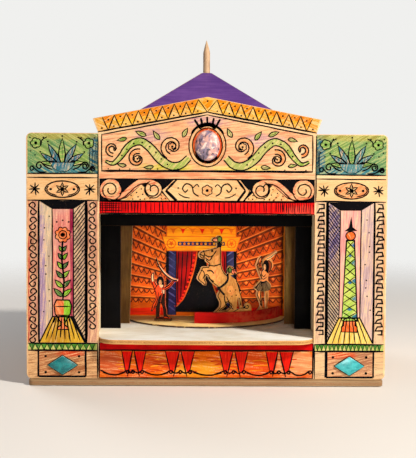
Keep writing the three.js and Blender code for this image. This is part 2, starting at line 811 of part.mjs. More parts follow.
standOnFoot(
  "ringmaster",
  ringmaster_run_shares,
  ringmaster_gap_shares,
  ringmaster_width,
  ringmaster_height,
  coat_red,
  ringmaster_x,
  ringmaster_y,
  0,
);

export default theatre;
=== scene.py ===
import math
import random

import bmesh
import bpy
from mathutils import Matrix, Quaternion, Vector


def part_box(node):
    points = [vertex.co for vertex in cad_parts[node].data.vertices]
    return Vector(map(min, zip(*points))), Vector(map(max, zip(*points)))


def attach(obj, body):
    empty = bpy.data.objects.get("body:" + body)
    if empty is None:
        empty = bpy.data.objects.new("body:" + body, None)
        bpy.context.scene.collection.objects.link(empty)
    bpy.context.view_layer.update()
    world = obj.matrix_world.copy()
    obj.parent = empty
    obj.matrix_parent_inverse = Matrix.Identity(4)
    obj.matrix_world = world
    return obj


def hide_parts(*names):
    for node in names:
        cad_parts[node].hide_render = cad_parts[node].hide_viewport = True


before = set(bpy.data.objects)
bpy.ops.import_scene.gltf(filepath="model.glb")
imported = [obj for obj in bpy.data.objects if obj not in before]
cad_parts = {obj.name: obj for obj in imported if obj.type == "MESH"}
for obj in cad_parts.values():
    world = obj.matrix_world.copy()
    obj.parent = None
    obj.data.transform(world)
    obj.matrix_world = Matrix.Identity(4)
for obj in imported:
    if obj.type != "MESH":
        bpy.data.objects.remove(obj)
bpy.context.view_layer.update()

# A table-top toy theatre: a box of thin plywood behind a front that is drawn in ink and coloured with
# pencils, a pyramid roof, and a round scene that a rod through the roof turns.
# The sections follow the toy as it is put together. Metres, +Z up, and the painted front faces -Y.

# Camera: it looks at the front from a little above the middle of the stage opening, about 600 mm away,
# as in the photograph.
mm = 0.001
board_low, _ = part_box("front_board")
camera_distance = 600 * mm
camera_side = -6 * mm
camera_height = 120 * mm
aim_side = 0.6 * mm
aim_height = 87 * mm
camera_lens = 85.2
camera_roll = math.radians(0.35)

camera = bpy.data.objects.new("camera", bpy.data.cameras.new("camera"))
camera.data.lens = camera_lens
camera.data.clip_start = 10 * mm
camera.location = (camera_side, board_low.y - camera_distance, camera_height)
aim = Vector((aim_side, board_low.y, aim_height)) - camera.location
camera.rotation_euler = (aim.to_track_quat("-Z", "Y") @ Quaternion((0, 0, 1), camera_roll)).to_euler()
bpy.context.scene.collection.objects.link(camera)
bpy.context.scene.camera = camera
bpy.context.scene.view_settings.view_transform = "Standard"


# Base plate: the bare 3 mm birch plywood sheet that the whole toy stands on. It is sawn, its corners are
# rounded and its edges are rubbed down, so the three layers of the ply show all round.
def rgb(red, green, blue):
    """A colour as a painter would read it from a screen, in the linear values that a shader takes."""
    shares = [value / 255 for value in (red, green, blue)]
    linear = [s / 12.92 if s <= 0.04045 else ((s + 0.055) / 1.055) ** 2.4 for s in shares]
    return (*linear, 1)


def feed(tree, socket, value):
    """Links a socket to another, or sets it. Three numbers for a colour are read as rgb() reads them."""
    if isinstance(value, bpy.types.NodeSocket):
        tree.links.new(value, socket)
    elif socket.type == "RGBA" and len(value) == 3:
        socket.default_value = rgb(*value)
    else:
        socket.default_value = value


def add(tree, kind, feeds=None, **settings):
    """A shader node with its settings made and its inputs fed."""
    made = tree.nodes.new("ShaderNode" + kind)
    for name, value in settings.items():
        setattr(made, name, value)
    for name, value in (feeds or {}).items():
        feed(tree, made.inputs[name], value)
    return made


def calc(tree, operation, *values):
    return add(tree, "Math", dict(enumerate(values)), operation=operation).outputs[0]


def weighed(tree, first, first_share, second, second_share):
    """Two values added by their shares."""
    return calc(tree, "MULTIPLY_ADD", first, first_share, calc(tree, "MULTIPLY", second, second_share))


def vector_calc(tree, operation, *values):
    made = add(tree, "VectorMath", dict(enumerate(values)), operation=operation)
    return made.outputs["Value" if operation in ("LENGTH", "DOT_PRODUCT") else "Vector"]


def smooth_step(tree, value, low, high):
    """0 below low, 1 above high, and smooth between."""
    feeds = {"Value": value, "From Min": low, "From Max": high}
    return add(tree, "MapRange", feeds, interpolation_type="SMOOTHSTEP").outputs["Result"]


def mix(tree, share, under, over, blend="MIX"):
    return add(tree, "Mix", {0: share, 6: under, 7: over}, data_type="RGBA", blend_type=blend).outputs[2]


def turned(tree, vector, angles):
    return add(tree, "Mapping", {"Vector": vector, "Rotation": angles}).outputs[0]


def cloud(tree, vector, stretch, detail=3, seed=(0, 0, 0)):
    """Noise whose lumps are 1 / stretch millimetres long, all ways or each way."""
    scale = stretch if isinstance(stretch, tuple) else (stretch,) * 3
    spread = add(tree, "Mapping", {"Vector": vector, "Scale": scale, "Location": seed})
    feeds = {"Vector": spread.outputs[0], "Scale": 1, "Detail": detail, "Roughness": 0.55}
    return add(tree, "TexNoise", feeds).outputs[0]


def new_group(name, takes, gives):
    """An empty node group, and what goes into it and comes out of it."""
    group = bpy.data.node_groups.new(name, "ShaderNodeTree")
    for way, sockets in (("INPUT", takes), ("OUTPUT", gives)):
        for socket, kind in sockets.items():
            group.interface.new_socket(socket, in_out=way, socket_type="NodeSocket" + kind)
    return group, group.nodes.new("NodeGroupInput").outputs, group.nodes.new("NodeGroupOutput").inputs


def grouped(tree, group, **feeds):
    """What comes out of a node group that is set in a tree and fed."""
    return add(tree, "Group", feeds, node_tree=group).outputs


# Grain of a rotary-cut birch veneer, running along X: broad cloudy figure, fine fibres and short pores.
tree, takes, gives = new_group(
    "veneer_grain",
    {"Vector": "Vector", "Pale": "Color", "Deep": "Color"},
    {"Color": "Color", "Fibre": "Float"},
)
veneer_grain = tree
figure = cloud(tree, takes["Vector"], (0.022, 0.16, 0.16), 4)
fibre = cloud(tree, takes["Vector"], (0.11, 2.6, 2.6))
pores = cloud(tree, takes["Vector"], (0.45, 5.5, 5.5), 1)
tone = weighed(tree, figure, 0.9, fibre, 0.5)
wood = mix(tree, smooth_step(tree, tone, 0.42, 1), takes["Pale"], takes["Deep"])
pore_mask = calc(tree, "MULTIPLY", smooth_step(tree, pores, 0.64, 0.74), 0.45)
pore_shade = mix(tree, 1, takes["Deep"], (168, 140, 112), "MULTIPLY")
feed(tree, gives["Color"], mix(tree, pore_mask, wood, pore_shade))
feed(tree, gives["Fibre"], calc(tree, "SUBTRACT", fibre, pore_mask))

# Sawn edge of a three-layer sheet: the cross-grained core is darker, and so are the two glue lines.
tree, takes, gives = new_group(
    "ply_edge", {"Depth": "Float", "Vector": "Vector"}, {"Core": "Float", "Glue": "Float"}
)
ply_edge = tree
waver = calc(tree, "MULTIPLY_ADD", cloud(tree, takes["Vector"], 0.3), 0.08, takes["Depth"])
from_middle = calc(tree, "ABSOLUTE", calc(tree, "SUBTRACT", waver, 0.54))
core_specks = smooth_step(tree, cloud(tree, takes["Vector"], 1.4, 2), 0.3, 0.65)
core = calc(tree, "SUBTRACT", 1, smooth_step(tree, from_middle, 0.15, 0.19))
glue_low = smooth_step(tree, from_middle, 0.13, 0.17)
glue_high = calc(tree, "SUBTRACT", 1, smooth_step(tree, from_middle, 0.18, 0.22))
feed(tree, gives["Core"], calc(tree, "MULTIPLY", core, core_specks))
feed(tree, gives["Glue"], calc(tree, "MULTIPLY", glue_low, glue_high))

# Rubbed arris: a broken mask on the narrow rounded edges, whose normals lie between those of the faces.
tree, takes, gives = new_group("rubbed_rim", {"Normal": "Vector", "Vector": "Vector"}, {"Mask": "Float"})
rubbed_rim = tree
leans = add(tree, "SeparateXYZ", {"Vector": vector_calc(tree, "ABSOLUTE", takes["Normal"])}).outputs
largest = calc(tree, "MAXIMUM", calc(tree, "MAXIMUM", leans[0], leans[1]), leans[2])
rim = calc(tree, "SUBTRACT", 1, smooth_step(tree, largest, 0.93, 0.985))
rub = smooth_step(tree, cloud(tree, takes["Vector"], 0.35, 4), 0.36, 0.56)
feed(tree, gives["Mask"], calc(tree, "MULTIPLY", rim, rub))

facing = {"X": Vector((1, 0, 0)), "Y": Vector((0, 1, 0)), "Z": Vector((0, 0, 1))}
grain_turn = {"X": (0, 0, 0), "Y": (0, 0, -math.pi / 2), "Z": (0, math.pi / 2, 0)}
birch_pale = (226, 186, 134)
birch_deep = (194, 142, 88)
core_brown = (150, 98, 54)
glue_brown = (104, 66, 38)


def new_material(name):
    """A material and its nodes, and the place of each point in millimetres and the way it faces."""
    made = bpy.data.materials.new(name)
    made.use_nodes = True
    tree = made.node_tree
    spot = add(tree, "TexCoord").outputs
    place = add(tree, "Mapping", {"Vector": spot["Object"], "Scale": (1 / mm,) * 3}).outputs[0]
    return made, tree, place, spot["Normal"]


def surface(tree, colour, roughness, relief=None, depth_mm=0.0, specular=0.5):
    """Feeds the Principled shader of a material."""
    shader = tree.nodes["Principled BSDF"].inputs
    feed(tree, shader["Base Color"], colour)
    feed(tree, shader["Roughness"], roughness)
    shader["Specular IOR Level"].default_value = specular
    if relief is not None:
        raised = add(tree, "Bump", {"Height": relief, "Distance": depth_mm * mm, "Strength": 0.6})
        feed(tree, shader["Normal"], raised.outputs[0])


def along(tree, vector, direction):
    """How far a vector reaches in a direction."""
    return vector_calc(tree, "DOT_PRODUCT", vector, direction)


def rubbed(tree, place, normal, colour, share, worn_to):
    """A colour that gives way in part to another along the narrow rounded edges."""
    rim = grouped(tree, rubbed_rim, Normal=normal, Vector=place)["Mask"]
    return mix(tree, calc(tree, "MULTIPLY", rim, share), colour, worn_to)


def sheet_wood(tree, place, node, through, grain, pale, deep):
    """Colour of a bare sheet: its veneer on the faces, and the layers of the ply on its edges."""
    veneer = grouped(tree, veneer_grain, Vector=turned(tree, place, grain_turn[grain]), Pale=pale, Deep=deep)
    reaches = [vertex.co.dot(through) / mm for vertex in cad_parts[node].data.vertices]
    low, high = min(reaches), max(reaches)
    depth = calc(tree, "DIVIDE", calc(tree, "SUBTRACT", along(tree, place, through), low), high - low)
    layers = grouped(tree, ply_edge, Depth=depth, Vector=place)
    with_core = mix(tree, calc(tree, "MULTIPLY", layers["Core"], 0.75), veneer["Color"], core_brown)
    return mix(tree, calc(tree, "MULTIPLY", layers["Glue"], 0.6), with_core, glue_brown), veneer["Fibre"]


def bare_ply(name, node, through, grain, pale=birch_pale, deep=birch_deep, roughness=0.62, rim_darkening=0):
    """Wood without paint. The last argument is how much darker its narrow rounded edges are coloured."""
    made, tree, place, normal = new_material(name)
    colour, fibre = sheet_wood(tree, place, node, through, grain, pale, deep)
    if rim_darkening:
        colour = rubbed(tree, place, normal, colour, rim_darkening, (120, 74, 40))
    surface(tree, colour, calc(tree, "MULTIPLY_ADD", fibre, -0.12, roughness + 0.06), fibre, 0.05)
    return made


def finished(name, shape, materials, body="theatre", smooth_angle=None, replaced=None):
    """A shape turned into a piece that rides on its body, and stands for the plain solid if one is named."""
    mesh = bpy.data.meshes.new(name)
    shape.to_mesh(mesh)
    shape.free()
    if smooth_angle:
        for face in mesh.polygons:
            face.use_smooth = True
        mesh.set_sharp_from_angle(angle=math.radians(smooth_angle))
    for material in materials:
        mesh.materials.append(material)
    piece = bpy.data.objects.new(name, mesh)
    bpy.context.scene.collection.objects.link(piece)
    if replaced:
        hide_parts(replaced)
    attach(piece, body)


def sanded(node, material, ease=0.25, body="theatre", round_from=30):
    """The sawn piece with its sharp edges rubbed down, which stands for the plain solid."""
    sheet = bmesh.new()
    sheet.from_mesh(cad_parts[node].data)
    bmesh.ops.remove_doubles(sheet, verts=sheet.verts, dist=0.001 * mm)
    bmesh.ops.dissolve_limit(sheet, angle_limit=math.radians(1), verts=sheet.verts, edges=sheet.edges)
    sharp = [edge for edge in sheet.edges if edge.calc_face_angle(0) > math.radians(round_from)]
    bmesh.ops.bevel(
        sheet, geom=sharp, offset=ease * mm, segments=2, profile=0.6, affect="EDGES", clamp_overlap=True
    )
    bmesh.ops.recalc_face_normals(sheet, faces=sheet.faces)
    finished(node + "_sanded", sheet, [material], body, 32, node)


base_birch = bare_ply("base_birch", "base_plate", facing["Z"], "X", (168, 134, 92), (134, 100, 62))
sanded("base_plate", base_birch, ease=0.4)


# Front board: one 3 mm sheet, sawn to two towers and a pediment, with the stage opening cut out of it.
# Its front is sealed with a peach wash, and everything that follows is drawn and coloured on it.
wash_pale = (246, 205, 152)
wash_deep = (226, 170, 112)
front_wash = bare_ply("front_wash", "front_board", facing["Y"], "X", wash_pale, wash_deep, 0.5, rim_darkening=0.7)
sanded("front_board", front_wash, ease=0.5)


# Cornice of the pediment: a band of yellow triangles between beige ones, each with a dot, over a beige
# fillet. It is coloured twice, so that the tops of the triangles are a deeper orange.
cornice_reach = 62.2
fillet_reach = 60.3


def cornice_top(x):
    return x, 159.6 - 0.191 * x


def cornice_foot(x):
    return x, 151.5 - 0.184 * x


# Strokes of a coloured pencil along X: long streaks, broken by the tooth of the wood. Cover is how much
# of the wood they hide.
tree, takes, gives = new_group(
    "pencil_strokes", {"Vector": "Vector", "Cover": "Float"}, {"Mask": "Float", "Press": "Float"}
)
pencil_strokes = tree
streaks = cloud(tree, takes["Vector"], (0.1, 1.5, 1.5), 2)
tooth = cloud(tree, takes["Vector"], (1.2, 2.4, 2.4), 2, (7, 3, 1))
laid = weighed(tree, streaks, 0.65, tooth, 0.35)
bare_from = calc(tree, "SUBTRACT", 0.68, calc(tree, "MULTIPLY", takes["Cover"], 0.42))
feed(tree, gives["Mask"], smooth_step(tree, laid, bare_from, calc(tree, "ADD", bare_from, 0.16)))
feed(tree, gives["Press"], smooth_step(tree, streaks, 0.35, 0.7))

# Soft patch: a round area of colour that fades out, with a hand-laid ragged edge.
tree, takes, gives = new_group(
    "soft_patch", {"Vector": "Vector", "Centre": "Vector", "Reach": "Vector"}, {"Mask": "Float"}
)
soft_patch = tree
away = vector_calc(tree, "SUBTRACT", takes["Vector"], takes["Centre"])
far = vector_calc(tree, "LENGTH", vector_calc(tree, "DIVIDE", away, takes["Reach"]))
ragged = cloud(tree, takes["Vector"], 0.25)
far = calc(tree, "MULTIPLY_ADD", ragged, 0.9, calc(tree, "SUBTRACT", far, 0.45))
feed(tree, gives["Mask"], calc(tree, "SUBTRACT", 1, smooth_step(tree, far, 0.45, 1.1)))

# A blush has its middle on the painted face, and goes right through the board.
front_y = board_low.y / mm
any_depth = 90


def pencilled(name, colour, second, turn=0, cover=0.8, pale=wash_pale, deep=wash_deep, blushes=()):
    """Pencil on washed wood. The strokes run at turn degrees from level, and second is the tint that the
    colour drifts towards. Each blush is a soft patch of one more colour: (colour, x, z, reach_x, reach_z)."""
    made, tree, place, _ = new_material(name)
    veneer = grouped(tree, veneer_grain, Vector=place, Pale=pale, Deep=deep)
    hatching = turned(tree, place, (0, math.radians(turn), 0))
    strokes = grouped(tree, pencil_strokes, Vector=hatching, Cover=cover)
    tint = mix(tree, smooth_step(tree, cloud(tree, place, 0.07), 0.36, 0.64), colour, second)
    for blush, x, z, reach_x, reach_z in blushes:
        centre, reach = (x, front_y, z), (reach_x, any_depth, reach_z)
        patch = grouped(tree, soft_patch, Vector=place, Centre=centre, Reach=reach)
        tint = mix(tree, patch["Mask"], tint, blush)
    firm = mix(tree, calc(tree, "MULTIPLY", strokes["Press"], 0.75), tint, (214, 190, 176), "MULTIPLY")
    shade = mix(tree, strokes["Mask"], mix(tree, 0.3, veneer["Color"], tint), firm)
    relief = calc(tree, "ADD", strokes["Mask"], veneer["Fibre"])
    surface(tree, shade, calc(tree, "MULTIPLY_ADD", strokes["Mask"], -0.1, 0.9), relief, 0.03, 0.08)
    return made


# Drawing ink: black, and a little brown where the pen ran dry.
ink, tree, place, _ = new_material("drawing_ink")
dry = smooth_step(tree, cloud(tree, place, 0.9), 0.6, 0.8)
ink_tone = mix(tree, dry, (9, 8, 11), (48, 34, 26))
surface(tree, ink_tone, calc(tree, "MULTIPLY_ADD", dry, 0.2, 0.7), dry, 0.01, 0.04)


def inks(*pencils):
    """The paints of a drawing: 0 is the ink, and each row of values for a pencil is the next."""
    return [ink, *(pencilled(*pencil) for pencil in pencils)]


# The thickness of one film and the usual width of a line, in millimetres, and how much wider ink runs
# than the pen.
film = 0.03
pen = 0.62
nib = 1.22


class Face:
    """The flat front of a piece, drawn on in millimetres across and up."""

    def __init__(self, origin, across):
        self.origin = origin
        self.across = across
        self.out = across.cross(facing["Z"])

    def at(self, x, z, rise):
        return self.origin + (self.across * x + facing["Z"] * z + self.out * rise) * mm


class Drawing:
    """Strokes and patches on a face, each a thin closed film, gathered into one piece. They are measured as
    lay() says: from a middle, to the left of it where side is -1, and in steps of wide and tall."""

    def __init__(self, face, seed, **how):
        self.face = face
        self.mesh = bmesh.new()
        self.hand = random.Random(seed)
        self.lay(**how)

    def lay(self, side=1, middle=0, wide=1, tall=1):
        self.side = side
        self.middle = middle
        self.wide = wide
        self.tall = tall

    def placed(self, points):
        return [(self.middle + self.side * x * self.wide, z * self.tall) for x, z in points]

    def film(self, outline, paint=0, over=0):
        """A filled outline on the bare face. Each step of over lies one film higher."""
        top = [self.mesh.verts.new(self.face.at(x, z, film * (1 + over))) for x, z in outline]
        bottom = [self.mesh.verts.new(self.face.at(x, z, film / 6)) for x, z in outline]
        faces = [self.mesh.faces.new(top), self.mesh.faces.new(bottom[::-1])]
        for i in range(len(outline)):
            j = (i + 1) % len(outline)
            faces.append(self.mesh.faces.new((top[j], top[i], bottom[i], bottom[j])))
        for face in faces:
            face.material_index = paint

    def line(self, points, width=pen, shake=0.1, taper=0.5, paint=0, over=3):
        """A stroke on the bare face, with the small shake and swell of a hand. Paint 0 is the ink."""
        width = width if paint else width * nib
        hand = self.hand
        line = [Vector(p) + Vector((hand.gauss(0, shake / 2), hand.gauss(0, shake / 2))) for p in points]
        left, right = [], []
        for i, point in enumerate(line):
            come = point - line[max(i - 1, 0)]
            go = line[min(i + 1, len(line) - 1)] - point
            come = come.normalized() if come.length else go.normalized()
            go = go.normalized() if go.length else come
            way = (come + go).normalized() if (come + go).length > 0.01 else come
            half = width / 2 * hand.uniform(0.85, 1.15) / max(0.6, way.dot(go))
            if i in (0, len(line) - 1):
                half *= taper
            left.append(point + Vector((-way.y, way.x)) * half)
            right.append(point - Vector((-way.y, way.x)) * half)
        self.film(right + left[::-1], paint, over)

    def patch(self, outline, paint=0, over=0):
        self.film(self.placed(outline), paint, over)

    def stroke(self, points, width=pen, **how):
        self.line(self.placed(points), width, **how)

    def bent(self, points, width=pen, steps=5, **how):
        self.stroke(bend(points, steps), width, **how)

    def rule(self, start, end, width=pen, step=5, **how):
        self.stroke(ruled(start, end, step), width, **how)

    def sides(self, corners, width):
        """A ruled stroke from each corner to the next."""
        for start, end in zip(corners, corners[1:]):
            self.rule(start, end, width)

    def shape(self, outline, paint, over, width, **how):
        """A patch with a line round it."""
        self.patch(outline, paint, over)
        self.stroke([*outline, outline[0]], width, **how)

    def dot(self, x, z, radius=0.55, paint=0, over=3):
        (x, z), = self.placed([(x, z)])
        self.film(round_line(x, z, radius, radius * self.hand.uniform(0.8, 1.1), steps=10)[:-1], paint, over)

    def dots(self, spots, radius, **how):
        for x, z in spots:
            self.dot(x, z, radius, **how)

    def done(self, name, materials, body="theatre", slot="painted_front"):
        bmesh.ops.recalc_face_normals(self.mesh, faces=self.mesh.faces)
        finished(name, self.mesh, materials, body)


def between(start, end, share):
    return tuple(a + (b - a) * share for a, b in zip(start, end))


def ruled(start, end, step=5):
    """A straight line in short steps, so that it can shake a little."""
    count = max(1, round(math.dist(start, end) / step))
    return [between(start, end, i / count) for i in range(count + 1)]


def round_line(x, z, reach_x, reach_z, start=0, end=360, steps=28):
    """Points on an arc of an oval, with angles in degrees from the right, upwards."""
    turns = [math.radians(start + (end - start) * i / steps) for i in range(steps + 1)]
    return [(x + reach_x * math.cos(t), z + reach_z * math.sin(t)) for t in turns]


def bend(points, steps=6):
    """A smooth curve through the points."""
    ends = [points[0], *points, points[-1]]
    curve = []
    for i in range(1, len(points)):
        a, b, c, d = (Vector(p) for p in ends[i - 1:i + 3])
        for t in [k / steps for k in range(steps)]:
            spot = 2 * b + (c - a) * t + (2 * a - 5 * b + 4 * c - d) * t**2 + (3 * b - a - 3 * c + d) * t**3
            curve.append(tuple(0.5 * spot))
    return [*curve, tuple(points[-1])]


front = Face(Vector((0, board_low.y, 0)), facing["X"])
cornice = Drawing(front, 11)
valleys = [0] + [8.5 + 6.6 * k for k in range(8)]
peaks = [5.2 + 6.6 * k for k in range(9)]
for side in (-1, 1):
    cornice.lay(side)
    cornice.patch([cornice_top(0), cornice_top(cornice_reach), cornice_foot(60), cornice_foot(0)], 3)
    for left, right, valley in zip(peaks, peaks[1:], valleys[1:]):
        left, right, point = cornice_top(left), cornice_top(right), cornice_foot(valley)
        cornice.patch([left, right, point], 1, over=1)
        low = cornice.hand.uniform(0.35, 0.62)
        cornice.patch([left, right, between(right, point, low), between(left, point, low)], 2, over=2)
    for k, peak in enumerate(peaks):
        top = (peak, cornice_top(peak)[1] - 0.3)
        cornice.rule(cornice_foot(valleys[k]), top, 0.5)
        if k + 1 < len(valleys):
            cornice.rule(top, cornice_foot(valleys[k + 1]))
        cornice.dot(peak + 0.2, cornice_foot(peak)[1] + 1.5, 0.5)
    for valley in valleys[side > 0:]:
        cornice.dot(valley, cornice_top(valley)[1] - cornice.hand.uniform(1.5, 2.2), 0.5)
    cornice.patch([(0, 158.4), (3.6, 157.9), (1.6, 154.9), (0, 153.2)], 2, over=1)
    cornice.rule(cornice_foot(fillet_reach), cornice_foot(0), 0.75)
cornice.done("cornice_drawing", inks(
    ("cornice_yellow", (255, 190, 30), (250, 172, 40), 35, 0.8),
    ("cornice_orange", (246, 154, 12), (228, 128, 8), 35, 0.8),
    ("cornice_beige", (246, 194, 76), (234, 166, 60), -20, 0.65),
))


# Field of the pediment: a framed peach ground with lilac and green hatching. A leafy scroll grows to each
# side from the collar of the stone, with a palmette above it.
frame_foot, frame_end, frame_peak, frame_reach = 118.9, 138.9, 150.0, 58.3
collar_z = 133.1


def spiral(x, z, outer, inner, start, end, steps=26):
    """Points on a spiral that winds from the outer radius to the inner one."""
    points = []
    for i in range(steps + 1):
        radius, turn = between((outer, math.radians(start)), (inner, math.radians(end)), i / steps)
        points.append((x + radius * math.cos(turn), z + radius * math.sin(turn)))
    return points


def band(drawing, outer, inner, paint, over=0):
    """A film between two closed lines that have as many points as each other."""
    rise = film * (1 + over)
    corners = [
        [drawing.mesh.verts.new(drawing.face.at(x, z, height)) for x, z in line[:-1]]
        for line, height in ((outer, rise), (inner, rise), (inner, film / 6), (outer, film / 6))
    ]
    count = len(corners[0])
    for first, second in zip(corners, corners[1:] + corners[:1]):
        for i in range(count):
            j = (i + 1) % count
            drawing.mesh.faces.new((first[i], first[j], second[j], second[i])).material_index = paint


def limb(drawing, points, widths, paint, over=1, outline=0.6):
    """A tapering stem along the points, coloured and outlined. The widths are spread over its length."""
    line = [Vector(p) for p in bend(drawing.placed(points), 5)]
    left, right = [], []
    for i, point in enumerate(line):
        way = (line[min(i + 1, len(line) - 1)] - line[max(i - 1, 0)]).normalized()
        spread = i / (len(line) - 1) * (len(widths) - 1)
        k = min(int(spread), len(widths) - 2)
        half = (widths[k] + (widths[k + 1] - widths[k]) * (spread - k)) / 2
        left.append(point + Vector((-way.y, way.x)) * half)
        right.append(point - Vector((-way.y, way.x)) * half)
    for i in range(len(line) - 1):
        drawing.film([left[i], left[i + 1], right[i + 1], right[i]], paint, over)
    if outline:
        drawing.line(left, outline)
        drawing.line(right, outline)


def leaf(drawing, x, z, length, width, turn, paint, over=1):
    """A pointed leaf with its rib, growing from a point at turn degrees from the right."""
    turn = math.radians(turn if drawing.side > 0 else 180 - turn)
    foot = Vector(drawing.placed([(x, z)])[0])
    way = Vector((math.cos(turn), math.sin(turn)))
    half = Vector((-way.y, way.x)) * width / 2
    swells = ((0, 0), (0.15, 0.6), (0.4, 1), (0.7, 0.7), (1, 0), (0.72, -0.5), (0.4, -0.8), (0.15, -0.55))
    outline = [foot + way * length * share + half * swell for share, swell in swells]
    drawing.film(outline, paint, over)
    drawing.line([*outline, outline[0]], 0.5)
    drawing.line([outline[0], foot + way * length * 0.7], 0.35)


def blossom(drawing, x, z, radius, paint, over=2, petals=6):
    """A round blossom with scalloped petals and a black eye."""
    (middle_x, middle_z), = drawing.placed([(x, z)])
    edge = []
    for i in range(petals * 6):
        turn = 2 * math.pi * i / (petals * 6)
        reach = radius * (0.8 + 0.2 * abs(math.sin(petals / 2 * turn)))
        edge.append((middle_x + reach * math.cos(turn), middle_z + reach * math.sin(turn)))
    drawing.film(edge, paint, over)
    drawing.line([*edge, edge[0]], 0.45, shake=0.03, taper=1)
    drawing.dot(x, z, radius * 0.3)


field = Drawing(front, 23)
ground = [
    (-frame_reach, frame_foot), (-frame_reach, frame_end), (0, frame_peak), (frame_reach, frame_end),
    (frame_reach, frame_foot),
]
field.patch(ground, 1)
field.sides(ground, 0.62)
field.rule((-frame_reach - 0.2, frame_foot), (frame_reach + 0.2, frame_foot), 1.0)
for side in (-1, 1):
    field.lay(side)
    stem = [
        (10.2, 126.4), (14.6, 122.4), (20, 121.8), (26, 125.4), (31.4, 131.6), (37, 135.2), (43, 133),
        (47.6, 127), (52, 123), (56.4, 124.4),
    ]
    limb(field, stem, (3.2, 4, 4.4, 4.6, 4.2, 3.6, 3, 2.2, 1), 2)
    for x, z, outer, inner, start, finish, widths in (
        (19.4, 132.4, 5.6, 1.6, -70, 290, (2.8, 2.4, 1.8, 1.1)),
        (38.6, 125.6, 4.4, 1.3, 110, -250, (2.6, 2.1, 1.5, 0.9)),
        (52.4, 131, 3.4, 1.1, -100, 230, (2, 1.6, 1.2, 0.7)),
    ):
        limb(field, spiral(x, z, outer, inner, start, finish, 12), widths, 3)
    for x, z, length, width, turn in (
        (13.6, 137.6, 5.6, 2.8, 118),
        (26.2, 136.2, 6, 2.8, 52),
        (33.6, 138.4, 6.4, 2.8, 22),
        (29.6, 121.4, 5.4, 2.4, -6),
        (44.6, 121.8, 5, 2.2, 8),
        (44.4, 137, 5.4, 2.4, -14),
    ):
        leaf(field, x, z, length, width, turn, 2)
    blossom(field, 19.4, 132.4, 2.3, 4)
    blossom(field, 38.6, 125.6, 1.9, 4)
    field.dots((
        (22, 122.6), (25.4, 125.6), (28.4, 129.2), (31.8, 132.4), (36, 134.6), (40.6, 134), (44.4, 130.8),
        (47.2, 127.4),
    ), 0.5)
    for x in (16, 27.6, 31, 42.5, 48.8, 55):
        field.dot(x + field.hand.uniform(-0.5, 0.5), 119.9 + field.hand.uniform(-0.2, 0.4), 0.4)
field.lay()
field.bent([(-4.7, 142.6), (-2.6, 144), (0, 144.5), (2.6, 144), (4.7, 142.6)], 1.5, 4, taper=0.7)
for foot, head in (
    ((-4.4, 143), (-6.9, 147)),
    ((-2.6, 144), (-3.6, 147.6)),
    ((0, 144.6), (-0.2, 148.4)),
    ((2.6, 144), (3.4, 147.8)),
    ((4.4, 143), (6.7, 147.2)),
):
    field.rule(foot, head, 0.95, 1, taper=0.9)
    field.dot(*head, 0.6)
for x in (-3.1, -1.2, 1.2, 3.1):
    field.rule((x, 143.9), (x * 1.12, 146), 0.6, 1)
rings = [round_line(0, collar_z, x, z, steps=44) for x, z in ((10.2, 11.6), (8.2, 9.7), (7, 8.5))]
band(field, rings[0], rings[1], 4, over=3)
band(field, rings[1], rings[2], 5, over=3)
for ring in rings[:2]:
    field.stroke(ring, 0.55, shake=0.06, taper=1)
field.stroke(round_line(0, collar_z, 7.3, 8.8, 200, 320, 16), 0.9, taper=0.2)
field.stroke(round_line(0, collar_z + 0.3, 10.4, 11.9, 30, 150, 20), 0.9, taper=0.2)
field.done("field_drawing", inks(
    ("field_tint", (246, 188, 134), (234, 162, 122), 8, 0.6, wash_pale, wash_deep, (
        ((204, 150, 156), -32, 139, 13, 5.5),
        ((204, 150, 164), 0, 146.5, 15, 4.5),
        ((216, 168, 170), 30, 136, 13, 5),
        ((247, 222, 176), 52, 129, 9, 9),
        ((212, 206, 66), -22, 121, 20, 2.6),
        ((240, 220, 110), 20, 120.6, 24, 2.2),
    )),
    ("leaf_green", (150, 186, 76), (196, 200, 118), 50, 0.72),
    ("vine_orange", (240, 140, 74), (240, 180, 124), -30, 0.66),
    ("collar_tint", (240, 186, 124), (226, 152, 96), 60, 0.5),
    ("collar_red", (240, 112, 44), (214, 74, 30), 60, 0.85),
))


# Frieze: a pink fillet over a black band with running scrolls, and a six-sided cartouche in the middle
# with a small flower and two tendrils.
frieze_foot, frieze_top, frieze_middle = 102.3, 114.4, 108.2
field_half = 59.6


def plate(x0, x1, z0, z1):
    return [(x0, z0), (x1, z0), (x1, z1), (x0, z1)]


